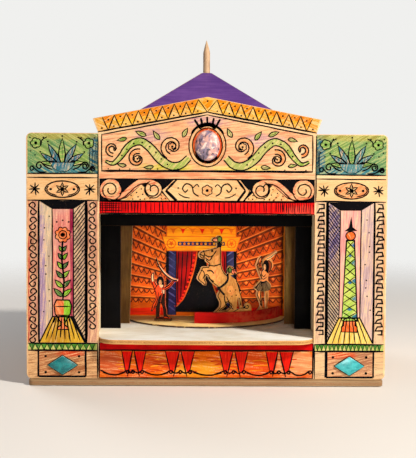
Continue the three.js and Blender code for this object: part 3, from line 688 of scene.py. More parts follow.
frieze = Drawing(front, 31)
frieze.patch(plate(-field_half, field_half, frieze_top + 0.4, frame_foot - 0.6), 1)
frieze.patch(plate(-field_half, field_half, frieze_foot, frieze_top))
frieze.patch([
    (-20.4, frieze_foot), (-25, frieze_middle), (-18, frieze_top), (18, frieze_top), (24, frieze_middle),
    (19.6, frieze_foot),
], 5, over=1)
for side in (-1, 1):
    frieze.lay(side)
    frieze.patch([
        (49.5, frieze_foot), (44.5, 104), (40, 108), (36.4, 111.4), (29, 104.6), (25.8, 107.6),
        (20.4, frieze_foot),
    ], 4, over=1)
    for x, z, reach_x, reach_z, paint, over in (
        (53.3, 108.4, 5.9, 5.9, 3, 2), (53.3, 108.7, 4.4, 4.2, 2, 3), (29.9, 108.7, 4.7, 4.6, 2, 2)
    ):
        frieze.patch(round_line(x, z, reach_x, reach_z, steps=32)[:-1], paint, over)
    sweep = [
        (56, 103.7), (50.5, 103.8), (45.6, 106), (41.4, 109.6), (37.2, 112.6), (32.6, 113.3), (28.6, 112.2)
    ]
    limb(frieze, sweep, (2.2, 3, 3.4, 3.4, 2.8, 1.8), 3, over=3, outline=0)
    frieze.bent([
        (57.4, 104), (52, 102.9), (47, 103.6), (43.4, 106.6), (39.4, 110.2), (35.4, 112), (32, 111.6),
        (31.2, 110),
    ], 0.55)
    frieze.bent([(48.6, 106.2), (46, 108), (43, 111.2), (39, 113.8)], 0.55)
    frieze.stroke(spiral(53.3, 108.4, 4.8, 1.3, -60, 400, 30), 0.6)
    frieze.stroke(round_line(53.3, 108.4, 6, 5.9, 140, 320, 22), 0.5)
    frieze.stroke(spiral(29.9, 108.7, 4.8, 1.3, 70, -400, 30), 0.6)
    frieze.stroke(round_line(29.9, 108.7, 4.7, 4.7, -170, 60, 18), 0.5)
    frieze.dots((
        (45, 104.4), (42, 105.4), (41.2, 103.4), (39, 107), (38.2, 104.6), (36.4, 109), (35.6, 106),
        (34.6, 103.4), (37, 103.2), (27.4, 104.6), (25.4, 105.6), (25.2, 103.6), (23, 103.8), (31.6, 103.6),
    ), 0.42)
    tip = 25.2 if side < 0 else 23.6
    mouth = tip - 2.4
    for start, end, width, taper in (
        ((18.4, frieze_top), (tip, frieze_middle), 0.6, 0.5),
        ((tip, frieze_middle), (20.6, frieze_foot), 0.6, 0.5),
        ((16.6, frieze_top), (mouth, frieze_middle), 1.1, 0.5),
        ((mouth, frieze_middle), (17, frieze_foot + 0.3), 1.3, 0.9),
    ):
        frieze.rule(start, end, width, taper=taper)
    tendril = [(4.6, 105), (7.4, 107), (8.4, 110.6), (11.4, 112), (13.6, 109.6), (12.2, 107.4), (10.6, 108.8)]
    frieze.bent(tendril, 0.6)
    frieze.bent([(8.2, 109.4), (5.8, 111.6), (4.4, 110.2)], 0.5, 4)
    frieze.bent([(9.6, 104.2), (13, 104.8), (16, 106.6)], 0.5, 4)
    frieze.dot(16, 109.6, 0.5)
frieze.lay()
blossom(frieze, 0, 108.3, 3.0, 4)
frieze.rule((-field_half, frieze_top), (field_half, frieze_top), 0.6)
frieze.rule((-field_half, frieze_foot), (field_half, frieze_foot), 0.7)
frieze.done("frieze_drawing", inks(
    ("fillet_pink", (250, 186, 140), (244, 158, 112), 0, 0.7),
    ("scroll_peach", (247, 204, 146), (240, 178, 122), 20, 0.6),
    ("scroll_rose", (246, 164, 120), (238, 138, 96), 20, 0.7),
    ("dotted_orange", (242, 156, 92), (244, 188, 118), 40, 0.6),
    ("cartouche_tint", (248, 204, 138), (240, 180, 118), -15, 0.5),
))


# Valance over the stage opening: a strip of cloth, drawn on the board. It is pencilled hard in bright red,
# and hatched with upright pen strokes like pleats.
opening_head = 95.0
valance_top = frieze_foot - 0.4
valance = Drawing(front, 41)
valance.patch(plate(-field_half, field_half, opening_head + 0.1, frieze_foot - 0.3), 1)
swing = valance.hand.uniform
x = -field_half + 0.8
while x < field_half - 0.5:
    reach = swing(5.2, 6.6)
    valance.rule((x, valance_top), (x + swing(-0.25, 0.25), valance_top - reach), swing(0.3, 0.5), 2)
    x += swing(1.3, 2.9) if -50 < x < 38 else swing(0.9, 1.5)
for z in (97, 98.6, 99.8, 100.8):
    valance.rule((-field_half, z), (-field_half + swing(7, 13), z), 0.34)
for z, width in ((102.1, 0.8), (opening_head + 0.45, 0.6)):
    valance.rule((-field_half, z), (field_half, z), width)
valance.done("valance_drawing", inks(
    ("valance_red", (250, 14, 14), (232, 8, 10), 90, 0.95, (244, 80, 60), (230, 50, 40), (
        ((244, 70, 56), 52, 97, 12, 4),
        ((204, 6, 8), -50, 100, 14, 5),
    )),
))


# Tower heads: a green and blue panel on each tower, where a fan of leaves spreads from a low bowl, between
# two rows of wave curls and two small flowers. The band under it has an eight-armed star at each end and a
# rosette in an oval between them.
tower_in, tower_out, tower_middle = 60.5, 99.3, 80
head_foot, head_top = 117.0, 138.9
bowl_z = 122.4
both_sides = ((-1, "left"), (1, "right"))
star_z, oval_z = 108.7, 108.6


def both_towers(name, left, right):
    """A pencil of its own for each tower, by the side that it stands on."""
    return {-1: pencilled(name + "_left", *left), 1: pencilled(name + "_right", *right)}


star_tint = both_towers(
    "star_tint", ((244, 194, 132), (230, 170, 104), 10, 0.5), ((248, 214, 154), (240, 196, 134), 10, 0.5)
)
rosette_tint = pencilled("rosette_tint", (240, 156, 98), (246, 188, 128), 30, 0.7)

for side, name in both_sides:
    head = Drawing(front, 51 + side, side=side)
    edge, top = tower_out - 0.1, head_top + 0.4
    head.patch([
        (tower_in, head_foot), (tower_in, top), (edge - 1.6, top), (edge - 0.4, top - 0.6), (edge, top - 1.8),
        (edge, head_foot),
    ], 1)
    middle = side * tower_middle
    head.lay(middle=middle)
    for spread, length, width, paint in (
        (-84, 9.6, 3, 3), (-58, 11.4, 3.4, 2), (-30, 13, 3.8, 2), (0, 14.2, 4.2, 3), (30, 13, 3.8, 2),
        (58, 11.4, 3.4, 2), (84, 9.6, 3, 3),
    ):
        lean = math.radians(spread)
        leaf(head, 2.6 * math.sin(lean), bowl_z, length, width, 90 - spread, paint, over=2)
        head.dot((length + 2.9) * math.sin(lean), bowl_z + (length + 1.3) * math.cos(lean), 0.5)
    bowl = [(-6.6, 123.2), (-5, 120.4), (-2.2, 118.6), (2.2, 118.6), (5, 120.4), (6.6, 123.2)]
    head.shape(bowl, 2, 4, 0.65)
    head.bent([(-4.6, 121.6), (0, 120.6), (4.6, 121.6)], 0.45, 3)
    for way in (-1, 1):
        head.lay(way, middle)
        curl = spiral(12.6, 121.4, 2.2, 0.6, 120, -430 if way > 0 else -250, 20)
        head.stroke([*bend([(5.6, 119.4), (9, 120.8), (11.4, 123.2)], 3), *curl], 0.65)
        curl = spiral(16.6, 119.9, 1.5, 0.5, 110, -400 if way > 0 else -220, 16)
        head.stroke([*bend([(8.6, 118.2), (13, 118.2), (16.2, 121.2)], 3), *curl], 0.6)
        blossom(head, 14.6, 134, 2.9, 3, over=3, petals=5)
        head.dots(((10.4, 137), (17.4, 129.6), (15, 127.4), (17.8, 137)), 0.45)
        head.bent([(8.4, 137.4), (11.2, 135.6), (11.6, 132.6)], 0.5, 4)
    head.lay(side)
    for x in [61.4, 62.4, 63.5, 64.8] if side < 0 else [61.2, 62]:
        head.rule((x, head_foot + 0.4), (x, head.hand.uniform(128, 137)), 0.36)
    head.rule((tower_in, head_foot + 0.5), (tower_out, head_foot + 0.2), 0.6)
    head.rule((tower_in, 115), (tower_out, 115), 0.55)
    head.rule((tower_in - 0.2, 102), (tower_in - 0.2, head_top), 0.55)
    head.done("tower_head_" + name, inks(
        (
            "head_green_" + name,
            (134, 170, 88), (98, 150, 98), 30 * side, 0.72, (214, 200, 130), (176, 170, 100),
            (
                ((34, 108, 132), side * 62.5, 128, 3.4, 14),
                ((60, 134, 146), middle, 118.5, 24, 4),
                ((170, 168, 84), middle, 138, 24, 2.6),
            ),
        ),
        ("vase_teal_" + name, (40, 116, 140), (90, 150, 150), 80, 0.75),
        ("scroll_green_" + name, (146, 186, 92), (116, 164, 84), 15, 0.8),
    ))

    stars = Drawing(front, 61 + side, side=side)
    stars.patch(plate(tower_in, tower_out, 102.9, 114.6), 1)
    for x in (64.9, 95.1):
        stars.lay(middle=side * x)
        for arm in range(8):
            turn = math.radians(arm * 45 + stars.hand.uniform(-7, 7) + 4)
            reach = stars.hand.uniform(2.6, 3.7)
            stars.rule((0, star_z), (reach * math.cos(turn), star_z + reach * math.sin(turn)), pen, 1)
        stars.dot(0, star_z, 0.8)
    stars.lay(middle=side * tower_middle)
    oval = round_line(0, oval_z, 9.5, 4.5, steps=36)
    stars.patch(oval[:-1], 2, over=1)
    stars.stroke(oval, 0.6, taper=1)
    for start in (150, -70):
        stars.stroke(round_line(0, oval_z, 8.6, 3.6, start, start + 100, 12), 0.5)
    for petal in range(6):
        leaf(stars, 0, oval_z, 3.6, 1.7, 60 * petal + 30, 1, over=2)
    for x, radius in ((0, 0.9), (-6.4, 0.8), (6.4, 0.8)):
        stars.dot(x, oval_z, radius)
    stars.lay(side)
    stars.rule((tower_in, 102.6), (tower_out, 102.4), 0.7)
    stars.done("star_band_" + name, [ink, star_tint[side], rosette_tint])


# Strips beside the niches: a chain of S curls with dotted ends on the left tower, and a winding key
# pattern on the right one.
strip_foot, strip_top = 23.4, 102.2
key_half, key_pace = 1.85, 2.2
# The right tower's tint is also pencilled darker, as painted shade on that side of the front.
strip_tint = both_towers(
    "strip_tint",
    ((214, 158, 132), (194, 140, 110), 85, 0.7, wash_pale, wash_deep, (((206, 92, 70), -99, 60, 1.6, 60),)),
    ((222, 190, 156), (206, 170, 146), 85, 0.6, wash_pale, wash_deep, (((216, 158, 104), 99, 60, 1.4, 60),)),
)
curl_up = spiral(0, 1.7, 2.0, 1.2, 185, -40, 10)
curl_down = spiral(0, -1.7, 2.0, 1.2, 5, -220, 10)
s_curl = [*curl_up[::-1], (0, 0), *curl_down]
for side, name in both_sides:
    strips = Drawing(front, 71 + side)
    for near, wide in ((60.5, 5.9), (93.4, 5.8)):
        strips.lay(side)
        strips.patch(plate(near, near + wide, strip_foot, strip_top), 1)
        middle = side * (near + wide / 2)
        if side < 0:
            z = strip_top - 4.4
            flip = 1 if near > 80 else -1
            while z > strip_foot + 3:
                strips.lay(flip, middle)
                strips.stroke([(x, z + height) for x, height in s_curl], 0.6, shake=0.14)
                strips.dots(((0.9, z + 1), (-0.9, z - 1)), 0.5)
                z -= strips.hand.uniform(7.7, 8.2)
                flip = -flip if strips.hand.random() < 0.7 else flip
        else:
            strips.lay(middle=middle)
            z = strip_top - 1.2
            key = []
            while z > strip_foot + 3:
                key += [(-key_half, z), (key_half * 0.7, z)]
                key += [(key_half * 0.9, z - key_pace), (-key_half * 0.5, z - key_pace)]
                z -= 2 * key_pace
            strips.stroke(key, 0.7, shake=0.34)
            if near > 80:
                strips.dots([(-0.6, height) for height in (82, 76, 66, 58)], 0.4)
    strips.lay(side)
    for x, width in ((66.5, 0.9), (93.3, 0.62)):
        strips.rule((x, strip_foot), (x, strip_top), width)
    strips.done("strip_drawing_" + name, [ink, strip_tint[side]])


# Niches: each is drawn in perspective, with a black ceiling, a pink back wall and a yellow boarded floor.
# A plant in an urn stands in the left one, and a lozenge-patterned obelisk in the right one.
niche_top, niche_foot, back_top, back_foot = 102.1, 23.3, 97.6, 37.7
niche_in, back_in, niche_middle, back_out, niche_out = 67.0, 73.9, 79.8, 85.6, 92.9
in_top, in_foot, out_top, out_foot = [(x, z) for x in (niche_in, niche_out) for z in (niche_top, niche_foot)]
back_in_top, back_in_foot = (back_in, back_top), (back_in, back_foot)
back_out_top, back_out_foot = (back_out, back_top), (back_out, back_foot)
hatch_slope = 1.35
ceiling_slope = (niche_top - back_top) / (back_in - niche_in)
floor_slope = (back_foot - niche_foot) / (back_in - niche_in)

niche_yellow = both_towers(
    "niche_yellow", ((226, 180, 48), (198, 146, 44), 80, 0.85), ((252, 222, 110), (244, 198, 74), 80, 0.75)
)
niche_pink = both_towers(
    "niche_pink", ((230, 132, 120), (220, 152, 138), 88, 0.85), ((246, 162, 158), (240, 186, 170), 88, 0.75)
)
# The right tower's wall tint is also pencilled darker, as painted shade on that side of the front.
niche_wall = both_towers(
    "niche_wall",
    (
        (198, 178, 166), (206, 188, 160), 86, 0.7, wash_pale, wash_deep,
        (((172, 146, 182), -91.5, 55, 2.6, 50),),
    ),
    ((208, 178, 172), (194, 168, 176), 86, 0.7),
)
niche_shade = both_towers(
    "niche_shade",
    ((198, 168, 138), (178, 150, 132), -65, 0.7),
    ((190, 172, 148), (176, 160, 148), 55, 0.7, wash_pale, wash_deep, (((120, 108, 160), 70, 84, 6, 24),)),
)
maroon = pencilled("niche_maroon", (150, 26, 66), (196, 84, 96), 88, 0.9)
plant_orange = pencilled("plant_orange", (246, 106, 40), (240, 150, 96), -60, 0.85)

for side, name in both_sides:
    niche = Drawing(front, 81 + side, side=side)
    niche.patch([in_top, back_in_top, back_out_top, out_top], 0, over=1)
    niche.patch([back_out_top, out_top, out_foot, back_out_foot], 3)
    niche.patch([in_top, back_in_top, back_in_foot, in_foot], 4)
    niche.patch([back_in_top, back_out_top, back_out_foot, back_in_foot], 2)
    niche.patch([back_in_foot, back_out_foot, out_foot, in_foot], 1)
    if side < 0:
        curtain_edge = [back_in_top, (back_in + 2, back_top), (back_in + 1.6, back_foot), back_in_foot]
        niche.patch(curtain_edge, 5, over=1)
    # Shading lines on the inner wall, and dots on both walls
    z = niche_foot + 3
    while z < niche_top + 8:
        first = max(0.5, (z - niche_top + 0.5) / (hatch_slope - ceiling_slope))
        last = min(back_in - niche_in - 0.4, (z - niche_foot - 0.5) / (hatch_slope + floor_slope))
        if last - first > 0.8:
            ends = [(niche_in + reach, z - hatch_slope * reach) for reach in (first, last)]
            niche.rule(*ends, 0.5, taper=0.8)
        z += 2.5 if side < 0 else 2.2
    for k in range(9):
        height = 42 + 6.2 * k + niche.hand.uniform(-2, 2)
        niche.dot(niche.hand.uniform(87, 91.6), height, 0.42)
        if k % 2:
            niche.dot(niche.hand.uniform(68.4, 72.4), height + 3, 0.42)
    # Boards of the floor
    boards = 9 if side < 0 else 8
    for share in [k / boards for k in range(1, boards)]:
        start, end = between(back_in_foot, back_out_foot, share), between(in_foot, out_foot, share)
        reach = niche.hand.uniform(0.75, 1) if side < 0 else 1
        niche.rule(start, between(start, end, reach), niche.hand.uniform(0.4, 0.7), 3)
    if side < 0:
        shadow = [back_in_foot, (back_in + 2.2, back_foot), (niche_in + 1, niche_foot), in_foot]
        niche.patch(shadow, 0, over=1)
        for x in (76.5, 79, 82, 84):
            niche.rule((x, back_foot), (x + (x - niche_middle) * 0.25, back_foot - 3.4), 0.9, 1, taper=0.1)
    # Outlines
    for start, end, width in (
        (in_top, in_foot, 1.15),
        (out_top, out_foot, 0.55),
        (back_in_top, back_in_foot, 0.55),
        (back_out_top, back_out_foot, 0.55),
        (back_in_foot, back_out_foot, 0.75),
        (back_out_foot, out_foot, 0.6),
        (back_in_foot, in_foot, 0.6),
    ):
        niche.rule(start, end, width, taper=0.9)

    niche.lay(middle=side * niche_middle)
    if side < 0:
        # Urn and plant: a stemmed urn, a tall stem with paired leaves, and a round bloom
        niche.shape([
            (-3.2, 30.6), (3.2, 30.6), (2.6, 32), (1, 33), (1.2, 34.6), (4.2, 39.4), (4.8, 44), (3.6, 47),
            (-3.6, 47), (-4.8, 44), (-4.2, 39.4), (-1.2, 34.6), (-1, 33), (-2.6, 32),
        ], 7, 2, 0.6)
        niche.patch([(0.4, 34), (4, 39.4), (4.6, 44), (3.4, 46.8), (0.6, 46.8)], 6, over=3)
        for height in (38.6, 43.4):
            niche.rule((-4.1, height), (4.1, height), 0.5, 2)
        niche.bent([(0, 47), (0.6, 58), (-0.5, 70), (0, 80)], 0.8, 6)
        for k, height in enumerate((49, 54, 59.4, 64.6, 69.6, 74)):
            for way in (-1, 1):
                paint = 6 if (k + (way > 0)) % 2 else 8
                leaf(niche, 0, height, 6.6 - 0.55 * k, 3 - 0.2 * k, 90 - way * (48 - 3 * k), paint, over=2)
        blossom(niche, 0, 83.4, 4.4, 7, over=3, petals=8)
        niche.stroke(round_line(0, 83.4, 2.3, 2.3, steps=14), 0.45, taper=1)
        niche.dots(round_line(0, 84.8, 6.6, 6.6, 30, 150, 4), 0.5)
        things = [
            pencilled("plant_green", (140, 206, 44), (176, 204, 90), 75, 0.9),
            plant_orange,
            pencilled("shade_green", (64, 112, 60), (120, 160, 80), 80, 0.85),
        ]
    else:
        # Obelisk: a stepped foot, a tapering shaft with a diamond pattern, and a black pointed finial
        niche.shape([
            (-4.4, 29.8), (4.4, 29.8), (4.4, 32.8), (3.2, 33.4), (3.2, 36), (-3.2, 36), (-3.2, 33.4),
            (-4.4, 32.8),
        ], 6, 2, 0.6)
        shaft_foot, shaft_top, rows = (4.3, 36), (2.2, 81), 9
        niche.shape([(-4.3, 36), shaft_foot, shaft_top, (-2.2, 81)], 8, 2, 0.65)
        for k in range(rows):
            wide_low, low = between(shaft_foot, shaft_top, k / rows)
            wide_high, high = between(shaft_foot, shaft_top, (k + 1) / rows)
            niche.rule((-wide_low, low), (wide_high, high), 0.45, 2)
            niche.rule((wide_low, low), (-wide_high, high), 0.45, 2)
            halfway = (low + high) / 2
            if k % 3 == 1:
                narrow = wide_low * 0.45
                kite = [(0, low + 0.6), (narrow, halfway - 1), (0, halfway - 0.2), (-narrow, halfway - 1)]
                niche.patch(kite, 7, over=3)
            if k % 2 == 0:
                side_low, side_high = (wide_low * 0.95, low + 0.9), (wide_high * 0.95, high - 0.9)
                niche.patch([side_low, side_high, (wide_low * 0.25, halfway)], 7, over=3)
        ball = round_line(0, 83.6, 2.6, 2.4, steps=18)
        niche.patch(ball[:-1], 6, over=3)
        niche.stroke(ball, 0.55, taper=1)
        niche.patch([(-3.4, 86.2), (3.8, 86.4), (1.2, 88.4), (0.3, 94.4), (-1, 88.2)], 0, over=4)
        things = [
            plant_orange,
            pencilled("obelisk_blue", (24, 104, 156), (70, 140, 150), 60, 0.85),
            pencilled("obelisk_green", (196, 216, 96), (152, 202, 80), 40, 0.85),
        ]
    walls = [ink, niche_yellow[side], niche_pink[side], niche_wall[side], niche_shade[side], maroon]
    niche.done("niche_drawing_" + name, walls + things)


# Feet of the towers: a band of green teeth, and an outlined panel round the lozenge with a dot in each
# corner.
foot_in, foot_out = 60.5, 99.1
panel_in, panel_out, panel_low, panel_high = 67.1, 93.4, 3.9, 18.7
chip_x, chip_z, chip_half_x, chip_half_z = 79.95, 10.7, 8.6, 5.6
tooth_dark = pencilled("tooth_dark", (84, 150, 44), (56, 112, 48), 80, 0.95)
tooth_pale = pencilled("tooth_pale", (206, 222, 120), (150, 196, 84), 80, 0.7)
panel_brown = both_towers(
    "panel_brown",
    ((198, 130, 84), (172, 110, 68), 12, 0.7, wash_pale, wash_deep, (((222, 84, 44), -76, 17.4, 9, 2.6),)),
    ((204, 144, 104), (184, 128, 94), 12, 0.7, wash_pale, wash_deep, (((228, 96, 56), 75, 17, 11, 3),)),
)
# The right tower's flank tint is also pencilled darker, as painted shade on that side of the front.
flank_tint = both_towers(
    "flank_tint", ((200, 150, 104), (184, 128, 82), 4, 0.6), ((208, 180, 142), (194, 160, 124), 4, 0.5)
)
for side, name in both_sides:
    foot = Drawing(front, 91 + side, side=side)
    foot.patch(plate(foot_in, foot_out, 18.9, 22.8), 2)
    foot.patch(plate(foot_in, foot_out, 3.6, 18.7), 4)
    foot.patch(plate(panel_in, panel_out, panel_low, panel_high), 3, over=1)
    foot.lay()
    x0, x1 = sorted((side * foot_in, side * foot_out))
    pitch = 3.35 if side < 0 else 2.3
    x = x0 + 0.5
    while x + pitch < x1 + 0.4:
        tooth = [(x, 22.5), (x + pitch / 2, 19.2), (x + pitch, 22.5)]
        foot.patch(tooth, 1, over=1)
        foot.stroke(tooth, 0.4)
        x += pitch
    foot.rule((x0, 22.8), (x1, 22.8), 0.7)
    foot.rule((x0, 18.9), (x1, 18.9), 0.9)
    foot.lay(side)
    foot.rule((panel_in, 4.2), (panel_in, panel_high), 1.3 if side > 0 else 0.9, taper=1)
    foot.rule((panel_out, 4.2), (panel_out, panel_high), 0.8, taper=1)
    foot.rule((panel_in, 4.3), (panel_out, 4.3), 0.85, taper=1)
    foot.rule((tower_in, 3.4), (tower_in, 23), 0.6)
    foot.dots([(x, z) for x in (70.8, 89.4) for z in (6.6, 15.6)], 0.75)
    foot.lay(middle=side * chip_x)
    foot.sides([
        (-chip_half_x, chip_z), (0, chip_z + chip_half_z), (chip_half_x, chip_z), (0, chip_z - chip_half_z),
        (-chip_half_x, chip_z),
    ], 0.5)
    foot.done("foot_drawing_" + name, [ink, tooth_dark, tooth_pale, panel_brown[side], flank_tint[side]])


# Curtain under the stage: a red rail, pencilled darker than the valance as painted shade under the lip of
# the stage floor, then orange cloth drawn with four pairs of red pleats over a wavy hem.
curtain_foot, curtain_head, rail_foot, hem_z = 3.5, 23.4, 19.2, 8
curtain = Drawing(front, 101)
# The rail, in a red pencilled darker as painted shade under the lip of the stage floor
curtain.patch(plate(-field_half, field_half, rail_foot, curtain_head), 1)
curtain.patch(plate(-field_half, field_half, curtain_foot, 19), 2)
swing = curtain.hand.uniform
for k in range(54):
    x, z, length = swing(-57, 50), swing(6.5, 18), swing(4, 12)
    streak = [(x, z), (x + length / 2, z + swing(-0.8, 0.8)), (x + length, z + swing(-0.6, 1))]
    curtain.bent(streak, swing(0.35, 0.8), 3, taper=0.2, paint=5 if k % 3 == 0 else 4, over=1)
hem = [-59]
for left, top_a, top_b, right in (
    (-47.2, -41.1, -40.2, -33.4), (-22.9, -14.7, -14.1, -6.4), (7.2, 15.1, 15.9, 23.4), (33.2, 40.1, 41, 48.7)
):
    for edge, apex in ((left, top_a), (right, top_b)):
        outer_foot, inner_foot = (edge + (apex - edge) * 0.36, 7), (edge + (apex - edge) * 0.56, 4.4)
        curtain.patch([(edge, 18.4), (apex, 18.4), (inner_foot[0], 7), outer_foot], 3, over=2)
        curtain.rule((edge, 19), outer_foot, 0.6)
        curtain.rule((apex, 19), inner_foot, 0.7)
    hem += [left + 3.4, (top_a + top_b) / 2, right - 2.4]
hem.append(58)
for k, (start, end) in enumerate(zip(hem, hem[1:])):
    wide = end - start > 8
    sag = 2.2 if wide else 1.2
    third = (end - start) / 3
    curtain.bent([(start, hem_z), (start + third, 7.8 - sag), (end - third, 7.7 - sag), (end, hem_z)], 0.65)
    curtain.stroke(spiral(end, 6.9, 1.1, 0.4, 90, 90 + (360 if k % 2 else -360), 12), 0.6)
    if wide:
        curtain.bent([(start + 1.5, 6.6), ((start + end) / 2, 5.2), (end - 1.5, 6.4)], 0.5)
for z, width in ((23.2, 0.5), (19.1, 0.75), (3.6, 0.5)):
    curtain.rule((-field_half, z), (field_half, z), width)
for x in (-field_half, field_half):
    curtain.rule((x, curtain_foot), (x, 23.3), 0.7)
curtain.done("curtain_drawing", inks(
    ("rail_red_painted_shade", (206, 10, 8), (168, 4, 4), 0, 0.95, (206, 30, 20), (180, 20, 14)),
    ("curtain_orange", (244, 116, 12), (228, 82, 18), -6, 0.85, wash_pale, wash_deep, (
        ((214, 96, 50), -54, 12, 9, 9),
        ((240, 156, 100), 50, 12, 14, 9),
        ((250, 160, 34), -6, 8, 16, 6),
    )),
    ("pleat_red", (238, 16, 6), (226, 34, 12), 85, 0.95, (246, 70, 30), (226, 44, 20)),
    ("streak_red", (202, 48, 14), (224, 78, 26), -5, 0.85, (220, 90, 40), (190, 60, 24)),
    ("streak_gold", (255, 176, 40), (250, 148, 26), -5, 0.85, (252, 170, 60), (240, 140, 30)),
))


# Pediment stone: an oval chip of lilac stone with pale veins and dark cracks. It is ground to a low dome,
# polished, let into a shallow pocket and glued.
stone_low, stone_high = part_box("pediment_stone")
stone_centre = (stone_low + stone_high) / 2
stone_half = (stone_high - stone_low) / 2
stone_dome_rise = board_low.y - stone_low.y
dome_steps = 56
dome_rings = (
    (1, None), (1, 0), (0.985, 0.14), (0.93, 0.36), (0.82, 0.58), (0.66, 0.77), (0.45, 0.91), (0.22, 0.98)
)

stone, tree, place, _ = new_material("lilac_stone")
warp = add(tree, "VectorMath", {0: place, "Scale": 0.12}, operation="SCALE").outputs[0]
twist, veins = [
    add(tree, "TexNoise", {"Vector": warp, "Scale": scale, "Detail": 3, "Distortion": distortion}).outputs[0]
    for scale, distortion in ((1.5, 1.2), (1.9, 2.0))
]
body_tint = mix(tree, smooth_step(tree, twist, 0.44, 0.62), (216, 160, 146), (132, 116, 138))
body_tint = mix(tree, smooth_step(tree, veins, 0.54, 0.64), body_tint, (244, 214, 198))
cracks = smooth_step(tree, calc(tree, "SUBTRACT", 0.4, veins), 0, 0.06)
surface(tree, mix(tree, cracks, body_tint, (84, 70, 84)), 0.42)
tree.nodes["Principled BSDF"].inputs["Coat Weight"].default_value = 0.08


def skinned(rings, tip=None):
    """A closed shape over rings of points, with a flat face at each end, or a tip instead of the last."""
    shape = bmesh.new()
    loops = [[shape.verts.new(point) for point in ring] for ring in rings]
    count = len(loops[0])
    for lower, upper in zip(loops, loops[1:]):
        for i in range(count):
            j = (i + 1) % count
            shape.faces.new((lower[i], lower[j], upper[j], upper[i]))
    shape.faces.new(loops[0][::-1])
    if tip:
        point = shape.verts.new(tip)
        for i in range(count):
            shape.faces.new((loops[-1][i], loops[-1][(i + 1) % count], point))
    else:
        shape.faces.new(loops[-1])
    bmesh.ops.recalc_face_normals(shape, faces=shape.faces)
    return shape


rings = []
for reach, rise in dome_rings:
    y = stone_high.y if rise is None else board_low.y - stone_dome_rise * rise
    outline = round_line(
        stone_centre.x, stone_centre.z, stone_half.x * reach, stone_half.z * reach, steps=dome_steps
    )
    rings.append([(x, y, z) for x, z in outline[:-1]])
dome = skinned(rings, (stone_centre.x, stone_low.y, stone_centre.z))
finished("pediment_stone_cut", dome, [stone], smooth_angle=40, replaced="pediment_stone")


# Lozenge chips: two flat chips of wood with rounded edges, glazed teal, the right one lighter than the
# left. They are glued on the feet of the towers.
for side, colour, light in (
    ("left", (6, 96, 98), (18, 132, 132)),
    ("right", (34, 152, 156), (66, 186, 188)),
):
    glaze, tree, place, normal = new_material("teal_glaze_" + side)
    swirl = cloud(tree, place, (0.18, 0.18, 0.4), 5)
    scratch = cloud(tree, place, (2.5, 2.5, 0.5), 2)
    tint = mix(tree, smooth_step(tree, swirl, 0.38, 0.62), colour, light)
    tint = rubbed(tree, place, normal, tint, 0.5, (150, 205, 200))
    surface(tree, tint, calc(tree, "MULTIPLY_ADD", scratch, 0.18, 0.16), swirl, 0.04)
    sanded("lozenge_" + side, glaze, ease=0.3)


# Side walls: 3 mm birch ply, butted behind the front and bare outside. Their insides are washed white.
# The grain runs from front to back.
def painted_ply(name, node, through, grain, colour, second, painted_side=0, pale=birch_pale, deep=birch_deep,
                roughness=0.85, brush=(0.12, 1.6, 1.6), wear=0.55):
    """Brushed paint on the faces of a sheet, with bare sawn edges. With painted_side 1 or -1, only the
    face that looks along the direction through the sheet, or against it, is painted."""
    made, tree, place, normal = new_material(name)
    wood, fibre = sheet_wood(tree, place, node, through, grain, pale, deep)
    facing_out = along(tree, normal, through)
    if painted_side == 0:
        facing_out = calc(tree, "ABSOLUTE", facing_out)
    else:
        facing_out = calc(tree, "MULTIPLY", facing_out, painted_side)
    chips = smooth_step(tree, cloud(tree, place, 0.5, 4), 0.3, 0.5)
    edge_from = calc(tree, "MULTIPLY_ADD", chips, -0.25 * wear, 0.9)
    covered = smooth_step(tree, facing_out, calc(tree, "SUBTRACT", edge_from, 0.06), edge_from)
    strokes = cloud(tree, turned(tree, place, grain_turn[grain]), brush)
    share = weighed(tree, strokes, 0.6, cloud(tree, place, 0.045), 0.6)
    paint = mix(tree, smooth_step(tree, share, 0.42, 0.78), colour, second)
    shine = calc(tree, "MULTIPLY_ADD", strokes, 0.2, roughness - 0.08)
    relief = calc(tree, "MULTIPLY_ADD", strokes, 0.8, fibre)
    surface(tree, mix(tree, covered, wood, paint), shine, relief, 0.05, 0.06)
    return made


for side, inward in (("left", 1), ("right", -1)):
    node = "side_wall_" + side
    wash = painted_ply("wall_wash_" + side, node, facing["X"], "Y", (238, 222, 190), (226, 204, 166), inward)
    sanded(node, wash, ease=0.35)


# Cleats, battens and rails: strips of bare birch, sawn square and glued in the corners of the box, where
# they carry the floor and the lid and stiffen the open back. None of them shows from the front.
strip_birch = (216, 178, 124), (178, 130, 80)
for node, through, grain in (
    ("floor_cleat_left", "Z", "Y"),
    ("floor_cleat_right", "Z", "Y"),
    ("eaves_cleat_left", "Z", "Y"),
    ("eaves_cleat_right", "Z", "Y"),
    ("front_batten_left", "X", "Z"),
    ("front_batten_right", "X", "Z"),
    ("rear_rail_low", "Y", "X"),
    ("rear_rail_high", "Y", "X"),
):
    sanded(node, bare_ply(node + "_wood", node, facing[through], grain, *strip_birch), ease=0.3)


# Stage floor: a 2.5 mm sheet that lies on the cleats and comes out through the opening in a bowed lip.
# Its top is painted white, and the sawn edge of the lip is bare and a little dirty.
floor_paint = painted_ply(
    "floor_paint", "stage_floor", facing["Z"], "X", (250, 248, 240), (222, 212, 190), 1,
    (232, 180, 112), (196, 134, 70), roughness=0.5, brush=(0.1, 1.9, 1.9),
)
sanded("stage_floor", floor_paint, ease=0.3)


# Eaves board: the flat lid of the box, a sheet of bare birch ply. It is glued on the walls and carries the
# roof, and from the front it shows as a thin edge.
eaves_birch = bare_ply("eaves_birch", "eaves_board", facing["Z"], "X", (222, 176, 122), (190, 138, 86))
sanded("eaves_board", eaves_birch, ease=0.4)


# Roof: four birch panels, mitred and glued to a pyramid. The outside is brushed purple, and the paint is
# rubbed off along the hips.
slopes = [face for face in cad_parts["roof_panel_front"].data.polygons if face.normal.z > 0.3]
roof_slope = max(slopes, key=lambda face: face.area).normal.copy()

